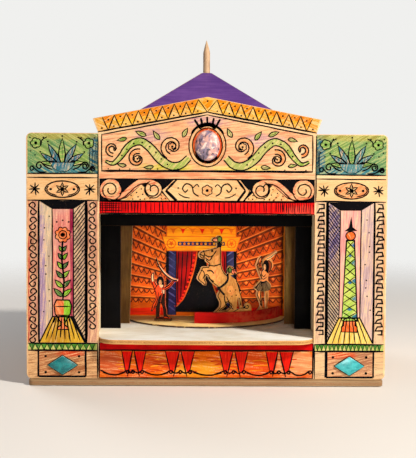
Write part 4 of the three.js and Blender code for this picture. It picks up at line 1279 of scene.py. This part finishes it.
roof_purple, tree, place, normal = new_material("roof_purple")
veneer = grouped(tree, veneer_grain, Vector=place, Pale=(208, 164, 116), Deep=(168, 118, 76))
rubbed_off = smooth_step(tree, cloud(tree, place, 0.3, 4), 0.32, 0.6)
steepness = add(tree, "SeparateXYZ", {"Vector": normal}).outputs[2]
edge_from = calc(tree, "MULTIPLY_ADD", rubbed_off, 0.05, roof_slope.z - 0.07)
covered = smooth_step(tree, steepness, calc(tree, "SUBTRACT", edge_from, 0.03), edge_from)
strokes = cloud(tree, place, (0.06, 0.9, 0.9))
share = weighed(tree, strokes, 0.6, cloud(tree, place, 0.04, 4), 0.6)
purple = mix(tree, smooth_step(tree, share, 0.4, 0.8), (80, 38, 118), (110, 66, 142))
shine = calc(tree, "MULTIPLY_ADD", strokes, 0.2, 0.5)
relief = calc(tree, "MULTIPLY_ADD", strokes, 0.8, veneer["Fibre"])
surface(tree, mix(tree, covered, veneer["Color"], purple), shine, relief, 0.06)
for side in ("front", "right", "back", "left"):
    sanded("roof_panel_" + side, roof_purple, ease=0.5, round_from=25)


# Apex block: a small block of birch, glued inside the tip of the roof. It is bored for the rod, which it
# steadies.
apex_wood = bare_ply("apex_wood", "apex_block", facing["Z"], "X", *strip_birch)
sanded("apex_block", apex_wood, ease=0.3)


# Wings and border: 1.5 mm sheets painted dull black, glued to the walls just behind the opening. They hide
# the sides and the lid of the box from the front.
for node in ("wing_left", "wing_right", "border"):
    black = painted_ply(
        node + "_black", node, facing["Y"], "Z", (5, 5, 6), (10, 9, 9), 0, (120, 84, 52), (70, 46, 30), 0.9
    )
    sanded(node, black, ease=0.15)


# Inner wings: 2 mm sheets stained gold-brown, glued to the walls further back. Their sawn edges are left
# pale.
for node in ("inner_wing_left", "inner_wing_right"):
    stain = painted_ply(
        node + "_stain", node, facing["Y"], "Z",
        (98, 66, 28), (72, 46, 18), 0, (222, 176, 120), (180, 130, 78), roughness=0.6,
    )
    sanded(node, stain, ease=0.2)


# Foot bearing: a block of bare birch, bored for the rod and glued on the base under the stage floor. The
# foot of the rod turns in it.
foot_wood = bare_ply("foot_wood", "foot_bearing", facing["Z"], "X", *strip_birch)
sanded("foot_bearing", foot_wood, ease=0.4)


# Spindle: a 4 mm birch dowel, whittled to a point with a knife. It stands in the foot bearing, comes out
# through the tip of the roof, and is the handle that turns the scene.
rod_low, rod_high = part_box("spindle")
rod_axis = (rod_low + rod_high) / 2
rod_radius = (rod_high.x - rod_low.x) / 2
point_length = 8 * mm
rod_steps = 32
facet = 2 * math.pi / 8
whittling = random.Random(5)

rod_wood, tree, place, _ = new_material("dowel_birch")
veneer = grouped(
    tree, veneer_grain, Vector=turned(tree, place, grain_turn["Z"]), Pale=(226, 192, 150), Deep=(180, 130, 84)
)
handled = smooth_step(tree, cloud(tree, place, (0.25, 0.25, 0.12)), 0.45, 0.7)
grimy = mix(tree, calc(tree, "MULTIPLY", handled, 0.5), veneer["Color"], (150, 110, 78))
surface(tree, grimy, 0.5, veneer["Fibre"], 0.06)

# The rod is round up to where the point starts. From there the knife leaves eight flats, a little uneven.
rings = []
for share, reach in ((None, 1), (0, 1), (0.12, 0.95), (0.45, 0.7), (0.8, 0.3), (1, 0.08)):
    ring = []
    for turn in [2 * math.pi * i / rod_steps for i in range(rod_steps)]:
        radius = rod_radius
        if share:
            to_facet = (turn + facet / 2) % facet - facet / 2
            flat = 0.93 / math.cos(to_facet) if share > 0.12 else 1
            radius *= min(1, reach * flat * (1 + whittling.uniform(-0.015, 0.015)))
        z = rod_low.z if share is None else rod_high.z - point_length * (1 - share)
        ring.append((rod_axis.x + radius * math.cos(turn), rod_axis.y + radius * math.sin(turn), z))
    rings.append(ring)
finished("spindle_whittled", skinned(rings), [rod_wood], "revolving_stage", 18, "spindle")


# Stage disc: a round of stout sand-coloured card, cut with a knife. It lies on the floor and turns with the
# rod, and its top is coloured darker in a ragged band along the rim.
disc_low, disc_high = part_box("stage_disc")
disc_centre = (disc_low + disc_high) / 2
disc_radius = (disc_high.x - disc_low.x) / 2

sand_card, tree, place, _ = new_material("sand_card")
away = vector_calc(tree, "SUBTRACT", place, disc_centre / mm)
reach = vector_calc(tree, "LENGTH", vector_calc(tree, "MULTIPLY", away, (1, 1, 0)))
felt = cloud(tree, place, 1.6, 4)
# The top is coloured darker in a ragged band along the rim
ragged_reach = calc(tree, "MULTIPLY_ADD", cloud(tree, place, 0.35), 3.2, calc(tree, "SUBTRACT", reach, 1.6))
rim = smooth_step(tree, ragged_reach, disc_radius / mm - 0.9, disc_radius / mm - 0.3)
card = mix(tree, smooth_step(tree, cloud(tree, place, 0.08, 5), 0.35, 0.7), (252, 216, 142), (236, 190, 112))
card = mix(tree, calc(tree, "MULTIPLY", smooth_step(tree, felt, 0.55, 0.75), 0.3), card, (186, 138, 78))
surface(tree, mix(tree, rim, card, (70, 44, 30)), 0.78, felt, 0.06)
sanded("stage_disc", sand_card, ease=0.12, body="revolving_stage", round_from=60)


# Backdrop: a 1.5 mm panel glued across the disc in front of the rod, painted with the inside of a circus
# tent on its front and bare behind.
panel_low, panel_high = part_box("backdrop")
panel_foot, panel_head, panel_edge = 27.9, 112.8, 49.1
entry_middle, entry_half, column_out, entry_head = -2.6, 16, 21.2, 69
panel_ground = painted_ply(
    "panel_ground", "backdrop", facing["Y"], "Z", (255, 156, 24), (244, 122, 14), -1, roughness=0.6
)
sanded("backdrop", panel_ground, ease=0.15, body="revolving_stage")


def along_tier(side, level, share):
    """A point of a bench, from the outer edge of the panel towards the entrance."""
    outer, inner = side * panel_edge, entry_middle + side * (column_out + 1)
    return outer + (inner - outer) * share, level + (36 - level) * 0.26 * share


view = Drawing(Face(Vector((0, panel_low.y, 0)), facing["X"]), 111)
view.patch(plate(-panel_edge, panel_edge, panel_foot, panel_head), 1)
for side in (-1, 1):
    (outer, _), (inner, _) = along_tier(side, 0, 0), along_tier(side, 0, 1)
    # The right-hand tiers take a darker pencil than the left ones, as painted shade.
    view.patch(plate(outer, inner, panel_foot, panel_head), 1 if side < 0 else 2, over=1)
    for k, level in enumerate((40, 47, 54.4, 62, 70, 78.4, 87, 96, 105)):
        drop = 1.5 + 0.12 * k
        line = [along_tier(side, level, share / 6) for share in range(7)]
        lower = [along_tier(side, level - drop, share / 6) for share in range(7)]
        view.patch([*line, *lower[::-1]], 3, over=2)
        view.stroke(line, 0.7, paint=4, over=2.6)
        posts = [along_tier(side, level - drop, share / 7) for share in range(8)]
        for swag, (first, last) in enumerate(zip(posts, posts[1:])):
            sag = 2.4 + 0.2 * k - 0.1 * swag
            x = (first[0] + last[0]) / 2
            view.bent([first, (x, min(first[1], last[1]) - sag), last], 0.65, 4, paint=3, over=2.3)
            if (swag + k) % 2:
                view.dot(x, first[1] - sag * 0.35, 0.8, paint=4, over=2)
            else:
                view.rule(first, (first[0], first[1] - sag - 0.8), 0.6, 2, paint=3, over=2.3)
    edge_x = outer - side * 0.6
    view.rule((edge_x, panel_foot), (edge_x, panel_head), 0.8, paint=3, over=2.3)
    view.patch([(outer, panel_foot), (outer, 31.9), (inner, 33.2), (inner, panel_foot)], 9, over=3)

view.lay(middle=entry_middle)
view.patch(plate(-column_out, column_out, panel_foot, entry_head), 0, over=3)
view.patch(plate(-column_out, column_out, panel_foot, 29.8), 6, over=4)
drape = [(2.6, 68.8), (3.8, 60), (5.8, 52.5), (8.8, 43.6), (11.7, 37.6), (16, 33)]
for side in (-1, 1):
    view.lay(side, entry_middle)
    view.patch([(16.2, 68.8), *drape], 8, over=4)
    for top_x, low_x, low_z in ((14.2, 14.8, 35.6), (11.6, 13, 38.4), (8.8, 10.6, 43), (6, 8, 48)):
        view.bent([(top_x, 68.6), (top_x + 0.6, 56), (low_x, low_z)], 0.5, 4, over=4.5)
    fringe = bend([(x + 1.5, z - 0.6) for x, z in drape], 3)
    view.dots(fringe[1:-1], 0.75, paint=9, over=5)
    view.bent(drape, 0.75, 4, paint=6, over=4.6)
    view.patch(plate(entry_half, column_out, panel_foot, entry_head), 7, over=5)
    for z in [30.6 + 4.4 * k for k in range(9)]:
        view.rule((16.4, z), (20.8, z + 3.2), 0.9, 2, paint=10, over=5.3)
    for x, width in ((15.9, 0.5), (21.4, 1.5)):
        view.rule((x, panel_foot), (x, entry_head), width, taper=0.9, over=5.6)
view.lay()

head_block = [(-27.2, 77.6), (-24.2, 68.7), (19, 68.7), (22, 77.6)]
view.patch(head_block, 5, over=6)
view.patch(plate(-24.2, 19, 77.6, 90), 5, over=6)
view.stroke([*head_block, head_block[0]], 0.5, paint=6, over=6.5)
view.patch(plate(-17.4, 12.2, 71.9, 74.4), 7, over=7)
for k in range(11):
    view.dot(-16 + 2.68 * k, 73.1, 0.8, paint=6 if k % 2 else 5, over=8)
for x in (-21.6, 16.4):
    view.lay(middle=x)
    view.stroke(round_line(0, 73.2, 2.7, 2.7, steps=20), 0.6, taper=1, paint=6, over=6.5)
    turns = [(2 if k % 2 else 0.9, k * math.pi / 5) for k in range(10)]
    view.patch([(reach * math.sin(turn), 73.2 + reach * math.cos(turn)) for reach, turn in turns], 6, over=7)
for k in range(7):
    view.lay(middle=-23.4 + 6.1 * k)
    view.bent([(0, 83.4), (3, 82.2), (6.1, 83.4)], 0.5, 3, paint=6, over=6.5)
    view.patch([(1.4, 82.6), (4.6, 82.6), (3, 79.2)], 9 if k % 2 else 6, over=8)
warm = (236, 104, 26), (196, 66, 14)
view.done("backdrop_drawing", inks(
    ("tier_tint_left", (244, 104, 18), (206, 74, 14), 20, 0.85, *warm),
    ("tier_tint_right_painted_shade", (216, 80, 16), (164, 50, 10), -20, 0.9, *warm),
    ("tier_dark", (110, 42, 16), (84, 32, 18), 20, 0.95, *warm),
    ("tier_light", (250, 138, 52), (236, 112, 40), 20, 0.8, *warm),
    ("gold_paint", (255, 166, 20), (255, 142, 12), 0, 0.9, (255, 176, 40), (250, 146, 20)),
    ("gold_shade", (230, 92, 16), (240, 116, 24), 0, 0.85, *warm),
    ("column_blue", (28, 26, 66), (46, 50, 104), 45, 0.95, (40, 36, 70), (24, 20, 44)),
    ("drape_red", (172, 8, 6), (120, 2, 2), 86, 0.95, (140, 10, 8), (90, 4, 4)),
    ("bright_red", (255, 40, 18), (240, 28, 12), 0, 0.95, (246, 60, 24), (220, 40, 14)),
    ("column_light", (76, 84, 150), (60, 64, 130), 45, 0.8, (50, 46, 84), (30, 26, 60)),
), "revolving_stage", "scene_paint")


# Hub block and braces: birch offcuts, glued behind the panel. They hold it square on the disc and tie it to
# the rod.
for node, through, grain in (("hub_block", "Z", "X"), ("brace_left", "X", "Z"), ("brace_right", "X", "Z")):
    wood = bare_ply(node + "_wood", node, facing[through], grain, *strip_birch)
    sanded(node, wood, ease=0.2, body="revolving_stage")


# Ring curb: the low wall round the front of the ring. It is a strip of card-thin ply, steamed round a
# former, painted deep red and glued on the disc.
curb_red, tree, place, normal = new_material("curb_red")
strokes = cloud(tree, place, (0.16, 0.16, 1.2))
share = weighed(tree, strokes, 0.4, cloud(tree, place, 0.05), 0.6)
red = mix(tree, smooth_step(tree, share, 0.35, 0.75), (174, 16, 12), (140, 10, 8))
red = rubbed(tree, place, normal, red, 0.3, (196, 90, 56))
surface(tree, red, calc(tree, "MULTIPLY_ADD", strokes, 0.15, 0.75), share, 0.06, 0.06)
sanded("ring_curb", curb_red, ease=0.2, body="revolving_stage", round_from=50)


# Horse: sawn from 1.5 mm ply with a fret saw, its foot strip glued behind the curb. The front is painted,
# and the sawn edges are left pale.
def front_of(node):
    """The drawn face of a figure that may stand turned, with the width and height that it spans."""
    areas = {}
    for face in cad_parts[node].data.polygons:
        if face.normal.y < -0.3 and abs(face.normal.z) < 0.1:
            key = (round(face.normal.x, 2), round(face.normal.y, 2))
            areas.setdefault(key, []).append(face)
    flat = max(areas.values(), key=lambda group: sum(face.area for face in group))
    out = flat[0].normal.copy()
    across = Vector((-out.y, out.x, 0)).normalized()
    points = [vertex.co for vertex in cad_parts[node].data.vertices]
    reaches = [point.dot(across) for point in points]
    heights = [point.z for point in points]
    plane = max(point.dot(out) for point in points)
    origin = across * min(reaches) + out * plane + Vector((0, 0, min(heights)))
    return Face(origin, across), (max(reaches) - min(reaches)) / mm, (max(heights) - min(heights)) / mm


def sawn_figure(node, paint, colour, second, seed):
    """A painted figure, and a drawing on its face that is measured in shares of its width and height."""
    face, wide, tall = front_of(node)
    wash = painted_ply(
        paint, node, face.out, "Z", colour, second, 1, (228, 188, 138), (190, 140, 92),
        brush=(0.5, 1.2, 1.2), wear=0.2,
    )
    sanded(node, wash, ease=0.1, body="revolving_stage")
    return Drawing(face, seed, wide=wide, tall=tall)


def drawn_edge(drawing, node, inset=0.62, width=0.5):
    """An ink line just inside the sawn edge of a figure, all round its drawn face."""
    face = drawing.face
    shape = bmesh.new()
    shape.from_mesh(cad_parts[node].data)
    bmesh.ops.remove_doubles(shape, verts=shape.verts, dist=0.001 * mm)
    level = max(v.co.dot(face.out) for v in shape.verts) - 0.01 * mm
    following = {}
    for side_face in shape.faces:
        if min(v.co.dot(face.out) for v in side_face.verts) < level:
            for loop in side_face.loops:
                after = loop.link_loop_next.vert
                if loop.vert.co.dot(face.out) > level and after.co.dot(face.out) > level:
                    following[after] = loop.vert
    while following:
        start, spot = following.popitem()
        ring = [start]
        while spot is not start and spot in following:
            ring.append(spot)
            spot = following.pop(spot)
        flat = [Vector(((v.co - face.origin).dot(face.across), (v.co - face.origin).z)) / mm for v in ring]
        line = []
        for before, point, after in zip(flat[-1:] + flat[:-1], flat, flat[1:] + flat[:1]):
            way = (point - before).normalized() + (after - point).normalized()
            if way.length > 0.4 and (point - before).length > 0.12:
                way.normalize()
                line.append(point + Vector((-way.y, way.x)) * inset)
        if len(line) > 3:
            drawing.line([*line, line[0]], width, shake=0.05, taper=1)
    shape.free()


pony = sawn_figure("horse", "horse_hide", (206, 146, 76), (168, 104, 46), 121)
drawn_edge(pony, "horse", 0.55, 0.4)
for blush in (
    [(0.24, 0.64), (0.34, 0.64), (0.38, 0.52), (0.34, 0.46), (0.26, 0.52)],
    [(0.55, 0.42), (0.64, 0.42), (0.68, 0.34), (0.62, 0.3), (0.54, 0.36)],
    [(0.32, 0.76), (0.38, 0.78), (0.38, 0.68), (0.32, 0.68)],
):
    pony.patch(blush, 3)
# Two balls on the head and two on the back
for ball, paint in (((0.4, 0.955), 1), ((0.32, 0.95), 2), ((0.585, 0.6), 1), ((0.665, 0.582), 2)):
    (x, z), = pony.placed([ball])
    pony.film(round_line(x, z, 1.5, 1.5, steps=16)[:-1], paint, over=1)
    pony.line(round_line(x, z, 1.55, 1.5, steps=16), 0.35, taper=1)
pony.patch([(0.35, 0.865), (0.43, 0.865), (0.44, 0.9), (0.41, 0.93), (0.37, 0.925), (0.355, 0.9)], 0, over=2)
# The girth and straps, the bridle, the legs, a curl of the tail, and the foot strip
for width, *points in (
    (1.1, (0.545, 0.56), (0.555, 0.5), (0.51, 0.45), (0.43, 0.412), (0.36, 0.4)),
    (1.0, (0.385, 0.395), (0.44, 0.355), (0.5, 0.315)),
    (0.55, (0.19, 0.668), (0.3, 0.655), (0.42, 0.675)),
    (0.5, (0.1, 0.835), (0.12, 0.8), (0.115, 0.75)),
    (0.5, (0.115, 0.79), (0.2, 0.76), (0.28, 0.775), (0.34, 0.83)),
    (0.5, (0.28, 0.775), (0.22, 0.72), (0.17, 0.735)),
    (0.5, (0.05, 0.79), (0.09, 0.775), (0.13, 0.765)),
    (0.6, (0.5, 0.315), (0.5, 0.26), (0.535, 0.2), (0.6, 0.165)),
    (0.45, (0.53, 0.3), (0.6, 0.2), (0.66, 0.14)),
    (0.7, (0.17, 0.6), (0.25, 0.6), (0.3, 0.57)),
    (0.6, (0.2, 0.53), (0.24, 0.5), (0.3, 0.475)),
    (0.45, (0.06, 0.61), (0.1, 0.6), (0.13, 0.56), (0.1, 0.51)),
    (0.45, (0.86, 0.165), (0.9, 0.15), (0.94, 0.16), (0.93, 0.185), (0.9, 0.18)),
    (1.2, (0.44, 0.02), (0.5, 0.06), (0.58, 0.1)),
    (1.0, (0.66, 0.02), (0.7, 0.05), (0.76, 0.08)),
    (0.5, (0.3, 0.025), (0.5, 0.03), (0.7, 0.025), (0.95, 0.03)),
):
    pony.bent(points, width)
pony.dot(0.265, 0.825, 0.75)
pony.dots(((0.7, 0.37), (0.71, 0.31), (0.63, 0.3), (0.6, 0.36)), 0.4)
pony.dots(((0.3, 0.6), (0.34, 0.55), (0.28, 0.55), (0.34, 0.48), (0.4, 0.46)), 0.4, paint=2)
pony.done("horse_drawing", inks(
    ("horse_green", (56, 96, 40), (110, 140, 60), 0, 0.95, (120, 140, 70), (60, 80, 40)),
    ("horse_rose", (236, 92, 60), (246, 150, 110), 0, 0.85, (246, 190, 140), (230, 150, 100)),
    ("horse_blush", (226, 120, 60), (212, 132, 74), 60, 0.5, (222, 164, 92), (204, 136, 66)),
), "revolving_stage", "figure_paint")


# Dancer and ringmaster: two more figures sawn from 1.5 mm ply, washed, and drawn on their fronts. Each is
# glued upright on a slip of dark-stained ply.
lady = sawn_figure("dancer", "dancer_wash", (236, 156, 88), (212, 124, 58), 131)
master = sawn_figure("ringmaster", "ringmaster_wash", (244, 80, 30), (212, 50, 18), 141)
for node in ("dancer_foot", "ringmaster_foot"):
    stain = painted_ply(
        node + "_stain", node, facing["Z"], "X",
        (48, 30, 20), (30, 20, 14), 0, (70, 46, 28), (44, 28, 18), roughness=0.9, wear=0,
    )
    sanded(node, stain, ease=0.15, body="revolving_stage")

skin_tint = pencilled("skin_tint", (224, 164, 112), (208, 140, 90), 0, 0.7, (230, 180, 130), (204, 146, 96))
raw_light = pencilled("raw_light", (250, 224, 176), (238, 200, 146), 0, 0.4, (250, 220, 168), (226, 180, 122))

# The skirt, the baton, a dark orange patch in the raised arm, painted shade for the backdrop seen through
# a gap, the hair and the face
for paint, over, *points in (
    (2, 1, (0.28, 0.52), (0.5, 0.52), (0.6, 0.53), (0.73, 0.47), (0.74, 0.43), (0.64, 0.385), (0.42, 0.375),
     (0.2, 0.39), (0.05, 0.425)),
    (3, 1, (0.5, 0.875), (0.74, 0.925), (0.96, 0.99), (0.99, 0.972), (0.78, 0.898), (0.56, 0.852)),
    (4, 1, (0.48, 0.85), (0.6, 0.855), (0.73, 0.82), (0.76, 0.76), (0.7, 0.7), (0.61, 0.645), (0.56, 0.68)),
    (0, 2, (0.37, 0.8), (0.41, 0.84), (0.5, 0.862), (0.59, 0.85), (0.64, 0.8), (0.65, 0.74), (0.62, 0.68),
     (0.58, 0.655), (0.52, 0.68), (0.4, 0.71), (0.37, 0.75)),
    (1, 3, (0.4, 0.77), (0.43, 0.795), (0.48, 0.79), (0.51, 0.76), (0.5, 0.72), (0.46, 0.695), (0.42, 0.715)),
):
    lady.patch(points, paint, over)
drawn_edge(lady, "dancer", 0.5, 0.42)
for u in (0.12, 0.22, 0.32, 0.42, 0.52, 0.62, 0.68):
    lady.stroke([(0.4 + (u - 0.38) * 0.35, 0.51), (u, 0.39)], 0.34)
# The belt and bodice, the eyes and mouth, the legs, the arm and the baton
for width, *points in (
    (0.8, (0.27, 0.525), (0.4, 0.515), (0.56, 0.535)),
    (0.4, (0.33, 0.64), (0.41, 0.6), (0.5, 0.64)),
    (0.35, (0.3, 0.6), (0.4, 0.56), (0.54, 0.6)),
    (0.28, (0.41, 0.765), (0.43, 0.765)),
    (0.28, (0.465, 0.765), (0.485, 0.765)),
    (0.28, (0.43, 0.735), (0.46, 0.733)),
    (0.35, (0.27, 0.34), (0.3, 0.24), (0.24, 0.12)),
    (0.35, (0.56, 0.36), (0.57, 0.22), (0.56, 0.12)),
    (0.4, (0.6, 0.855), (0.73, 0.82), (0.76, 0.76), (0.7, 0.7), (0.61, 0.645)),
    (0.3, (0.52, 0.87), (0.74, 0.908), (0.96, 0.97)),
):
    lady.bent(points, width, 3)
lady.done("dancer_drawing", [
    ink,
    skin_tint,
    pencilled("skirt_tint", (122, 94, 62), (92, 70, 50), 80, 0.8, (150, 116, 76), (110, 84, 56)),
    raw_light,
    pencilled("gap_painted_shade", (176, 70, 24), (140, 52, 18), 70, 0.9, (160, 72, 30), (120, 50, 22)),
], "revolving_stage", "figure_paint")

# The pale wood along the whip, the raised hand, the trousers, the waistcoat and collar, the hair and the face
for paint, over, *points in (
    (3, 4, (0.185, 0.985), (0.26, 0.87), (0.41, 0.76), (0.58, 0.68), (0.77, 0.62), (0.98, 0.62),
     (0.98, 0.635), (0.82, 0.655), (0.62, 0.712), (0.43, 0.8), (0.29, 0.885), (0.21, 0.985)),
    (3, 1, (0.03, 0.66), (0.07, 0.6), (0.12, 0.62), (0.12, 0.74), (0.04, 0.72)),
    (1, 1, (0.21, 0.02), (0.33, 0.02), (0.335, 0.16), (0.36, 0.29), (0.42, 0.41), (0.3, 0.36), (0.21, 0.2)),
    (1, 1, (0.475, 0.03), (0.67, 0.025), (0.58, 0.07), (0.57, 0.15), (0.525, 0.22), (0.515, 0.41),
     (0.44, 0.41), (0.37, 0.29), (0.455, 0.16)),
    (3, 1, (0.42, 0.47), (0.5, 0.465), (0.52, 0.41), (0.45, 0.4)),
    (3, 1, (0.31, 0.54), (0.37, 0.505), (0.47, 0.52), (0.44, 0.56)),
    (0, 2, (0.22, 0.585), (0.215, 0.64), (0.28, 0.685), (0.41, 0.685), (0.475, 0.64), (0.49, 0.57),
     (0.45, 0.55), (0.3, 0.55), (0.25, 0.55)),
    (2, 3, (0.29, 0.59), (0.32, 0.63), (0.38, 0.63), (0.41, 0.59), (0.39, 0.55), (0.35, 0.54), (0.31, 0.55)),
):
    master.patch(points, paint, over)
drawn_edge(master, "ringmaster", 0.5, 0.42)
# The eyes and mouth, the tail and edge of the coat, and the sleeves
for width, *points in (
    (0.3, (0.32, 0.6), (0.338, 0.6)),
    (0.3, (0.37, 0.6), (0.388, 0.6)),
    (0.28, (0.34, 0.568), (0.368, 0.566)),
    (0.45, (0.3, 0.43), (0.24, 0.3), (0.12, 0.17)),
    (0.4, (0.42, 0.52), (0.42, 0.46), (0.44, 0.41)),
    (0.35, (0.52, 0.515), (0.64, 0.545), (0.74, 0.58)),
    (0.4, (0.24, 0.54), (0.18, 0.5), (0.14, 0.44)),
):
    master.bent(points, width, 3)
whip = [(0.2, 0.98), (0.27, 0.88), (0.41, 0.775), (0.59, 0.69), (0.8, 0.632), (0.95, 0.627)]
limb(master, whip, (0.5, 0.9, 0.9, 0.7), 0, over=5, outline=0)
master.dots([(0.405, v) for v in (0.5, 0.465, 0.43)], 0.33, paint=3, over=2)
cloth_black = pencilled("cloth_black", (24, 18, 16), (44, 30, 22), 85, 0.95, (50, 34, 24), (30, 20, 16))
master.done("ringmaster_drawing", [ink, cloth_black, skin_tint, raw_light], "revolving_stage", "figure_paint")


# Table: a pale round of matt board under the toy. It takes the toy's shadow, and fades out all round into
# the surround.
table_height = -0.3 * mm
table_reach = 900 * mm

bpy.ops.mesh.primitive_circle_add(
    vertices=96, radius=table_reach, fill_type="NGON", location=(0, 0, table_height)
)
table = bpy.context.object
table.name = "table"
table_paper = bpy.data.materials.new("table_paper")
table_paper.use_nodes = True
tree = table_paper.node_tree
surface(tree, (232, 226, 218), 0.8)
fade = smooth_step(tree, vector_calc(tree, "LENGTH", add(tree, "TexCoord").outputs["Object"]), 0.25, 0.85)
clear = add(tree, "BsdfTransparent").outputs[0]
blend = add(tree, "MixShader", {0: fade, 1: tree.nodes["Principled BSDF"].outputs[0], 2: clear})
feed(tree, tree.nodes["Material Output"].inputs["Surface"], blend.outputs[0])
table.data.materials.append(table_paper)


# Light: a key lamp to the right of the camera and above it, a weaker one low in front, a narrow one into the
# stage opening, and one behind at the left. The surround is even, and the camera sees it as pale paper.
def lamp(name, place, target, size, power, tint, height=None, spread=180):
    light = bpy.data.lights.new(name, "AREA")
    light.shape = "RECTANGLE" if height else "DISK"
    light.size = size
    if height:
        light.size_y = height
    light.spread = math.radians(spread)
    light.energy = power
    light.color = tint
    piece = bpy.data.objects.new(name, light)
    piece.location = place
    piece.rotation_euler = (Vector(target) - Vector(place)).to_track_quat("-Z", "Y").to_euler()
    bpy.context.scene.collection.objects.link(piece)


lamp("front_light", (0.1, -1.15, 0.115), (0, 0, 0.08), 0.22, 3.0, (1, 0.97, 0.92))
lamp("key_light", (0.67, -0.6, 0.71), (0, -0.04, 0.05), 0.12, 14.5, (1, 0.96, 0.9))
lamp("stage_light", (0.02, -0.9, 0.085), (0, 0, 0.058), 0.1, 0.018, (1, 0.95, 0.86), height=0.04, spread=3)
lamp("back_light", (-0.7, 0.9, 0.7), (0, 0, 0.1), 0.6, 6, (0.95, 0.97, 1))

surround = bpy.data.worlds.new("surround")
surround.use_nodes = True
bpy.context.scene.world = surround
tree = surround.node_tree
rays = add(tree, "LightPath")
seen = calc(tree, "MAXIMUM", rays.outputs["Is Camera Ray"], rays.outputs["Is Transmission Ray"])
back = tree.nodes["Background"]
feed(tree, back.inputs["Color"], mix(tree, seen, (0.15, 0.15, 0.16, 1), (240, 240, 238)))
back.inputs["Strength"].default_value = 1
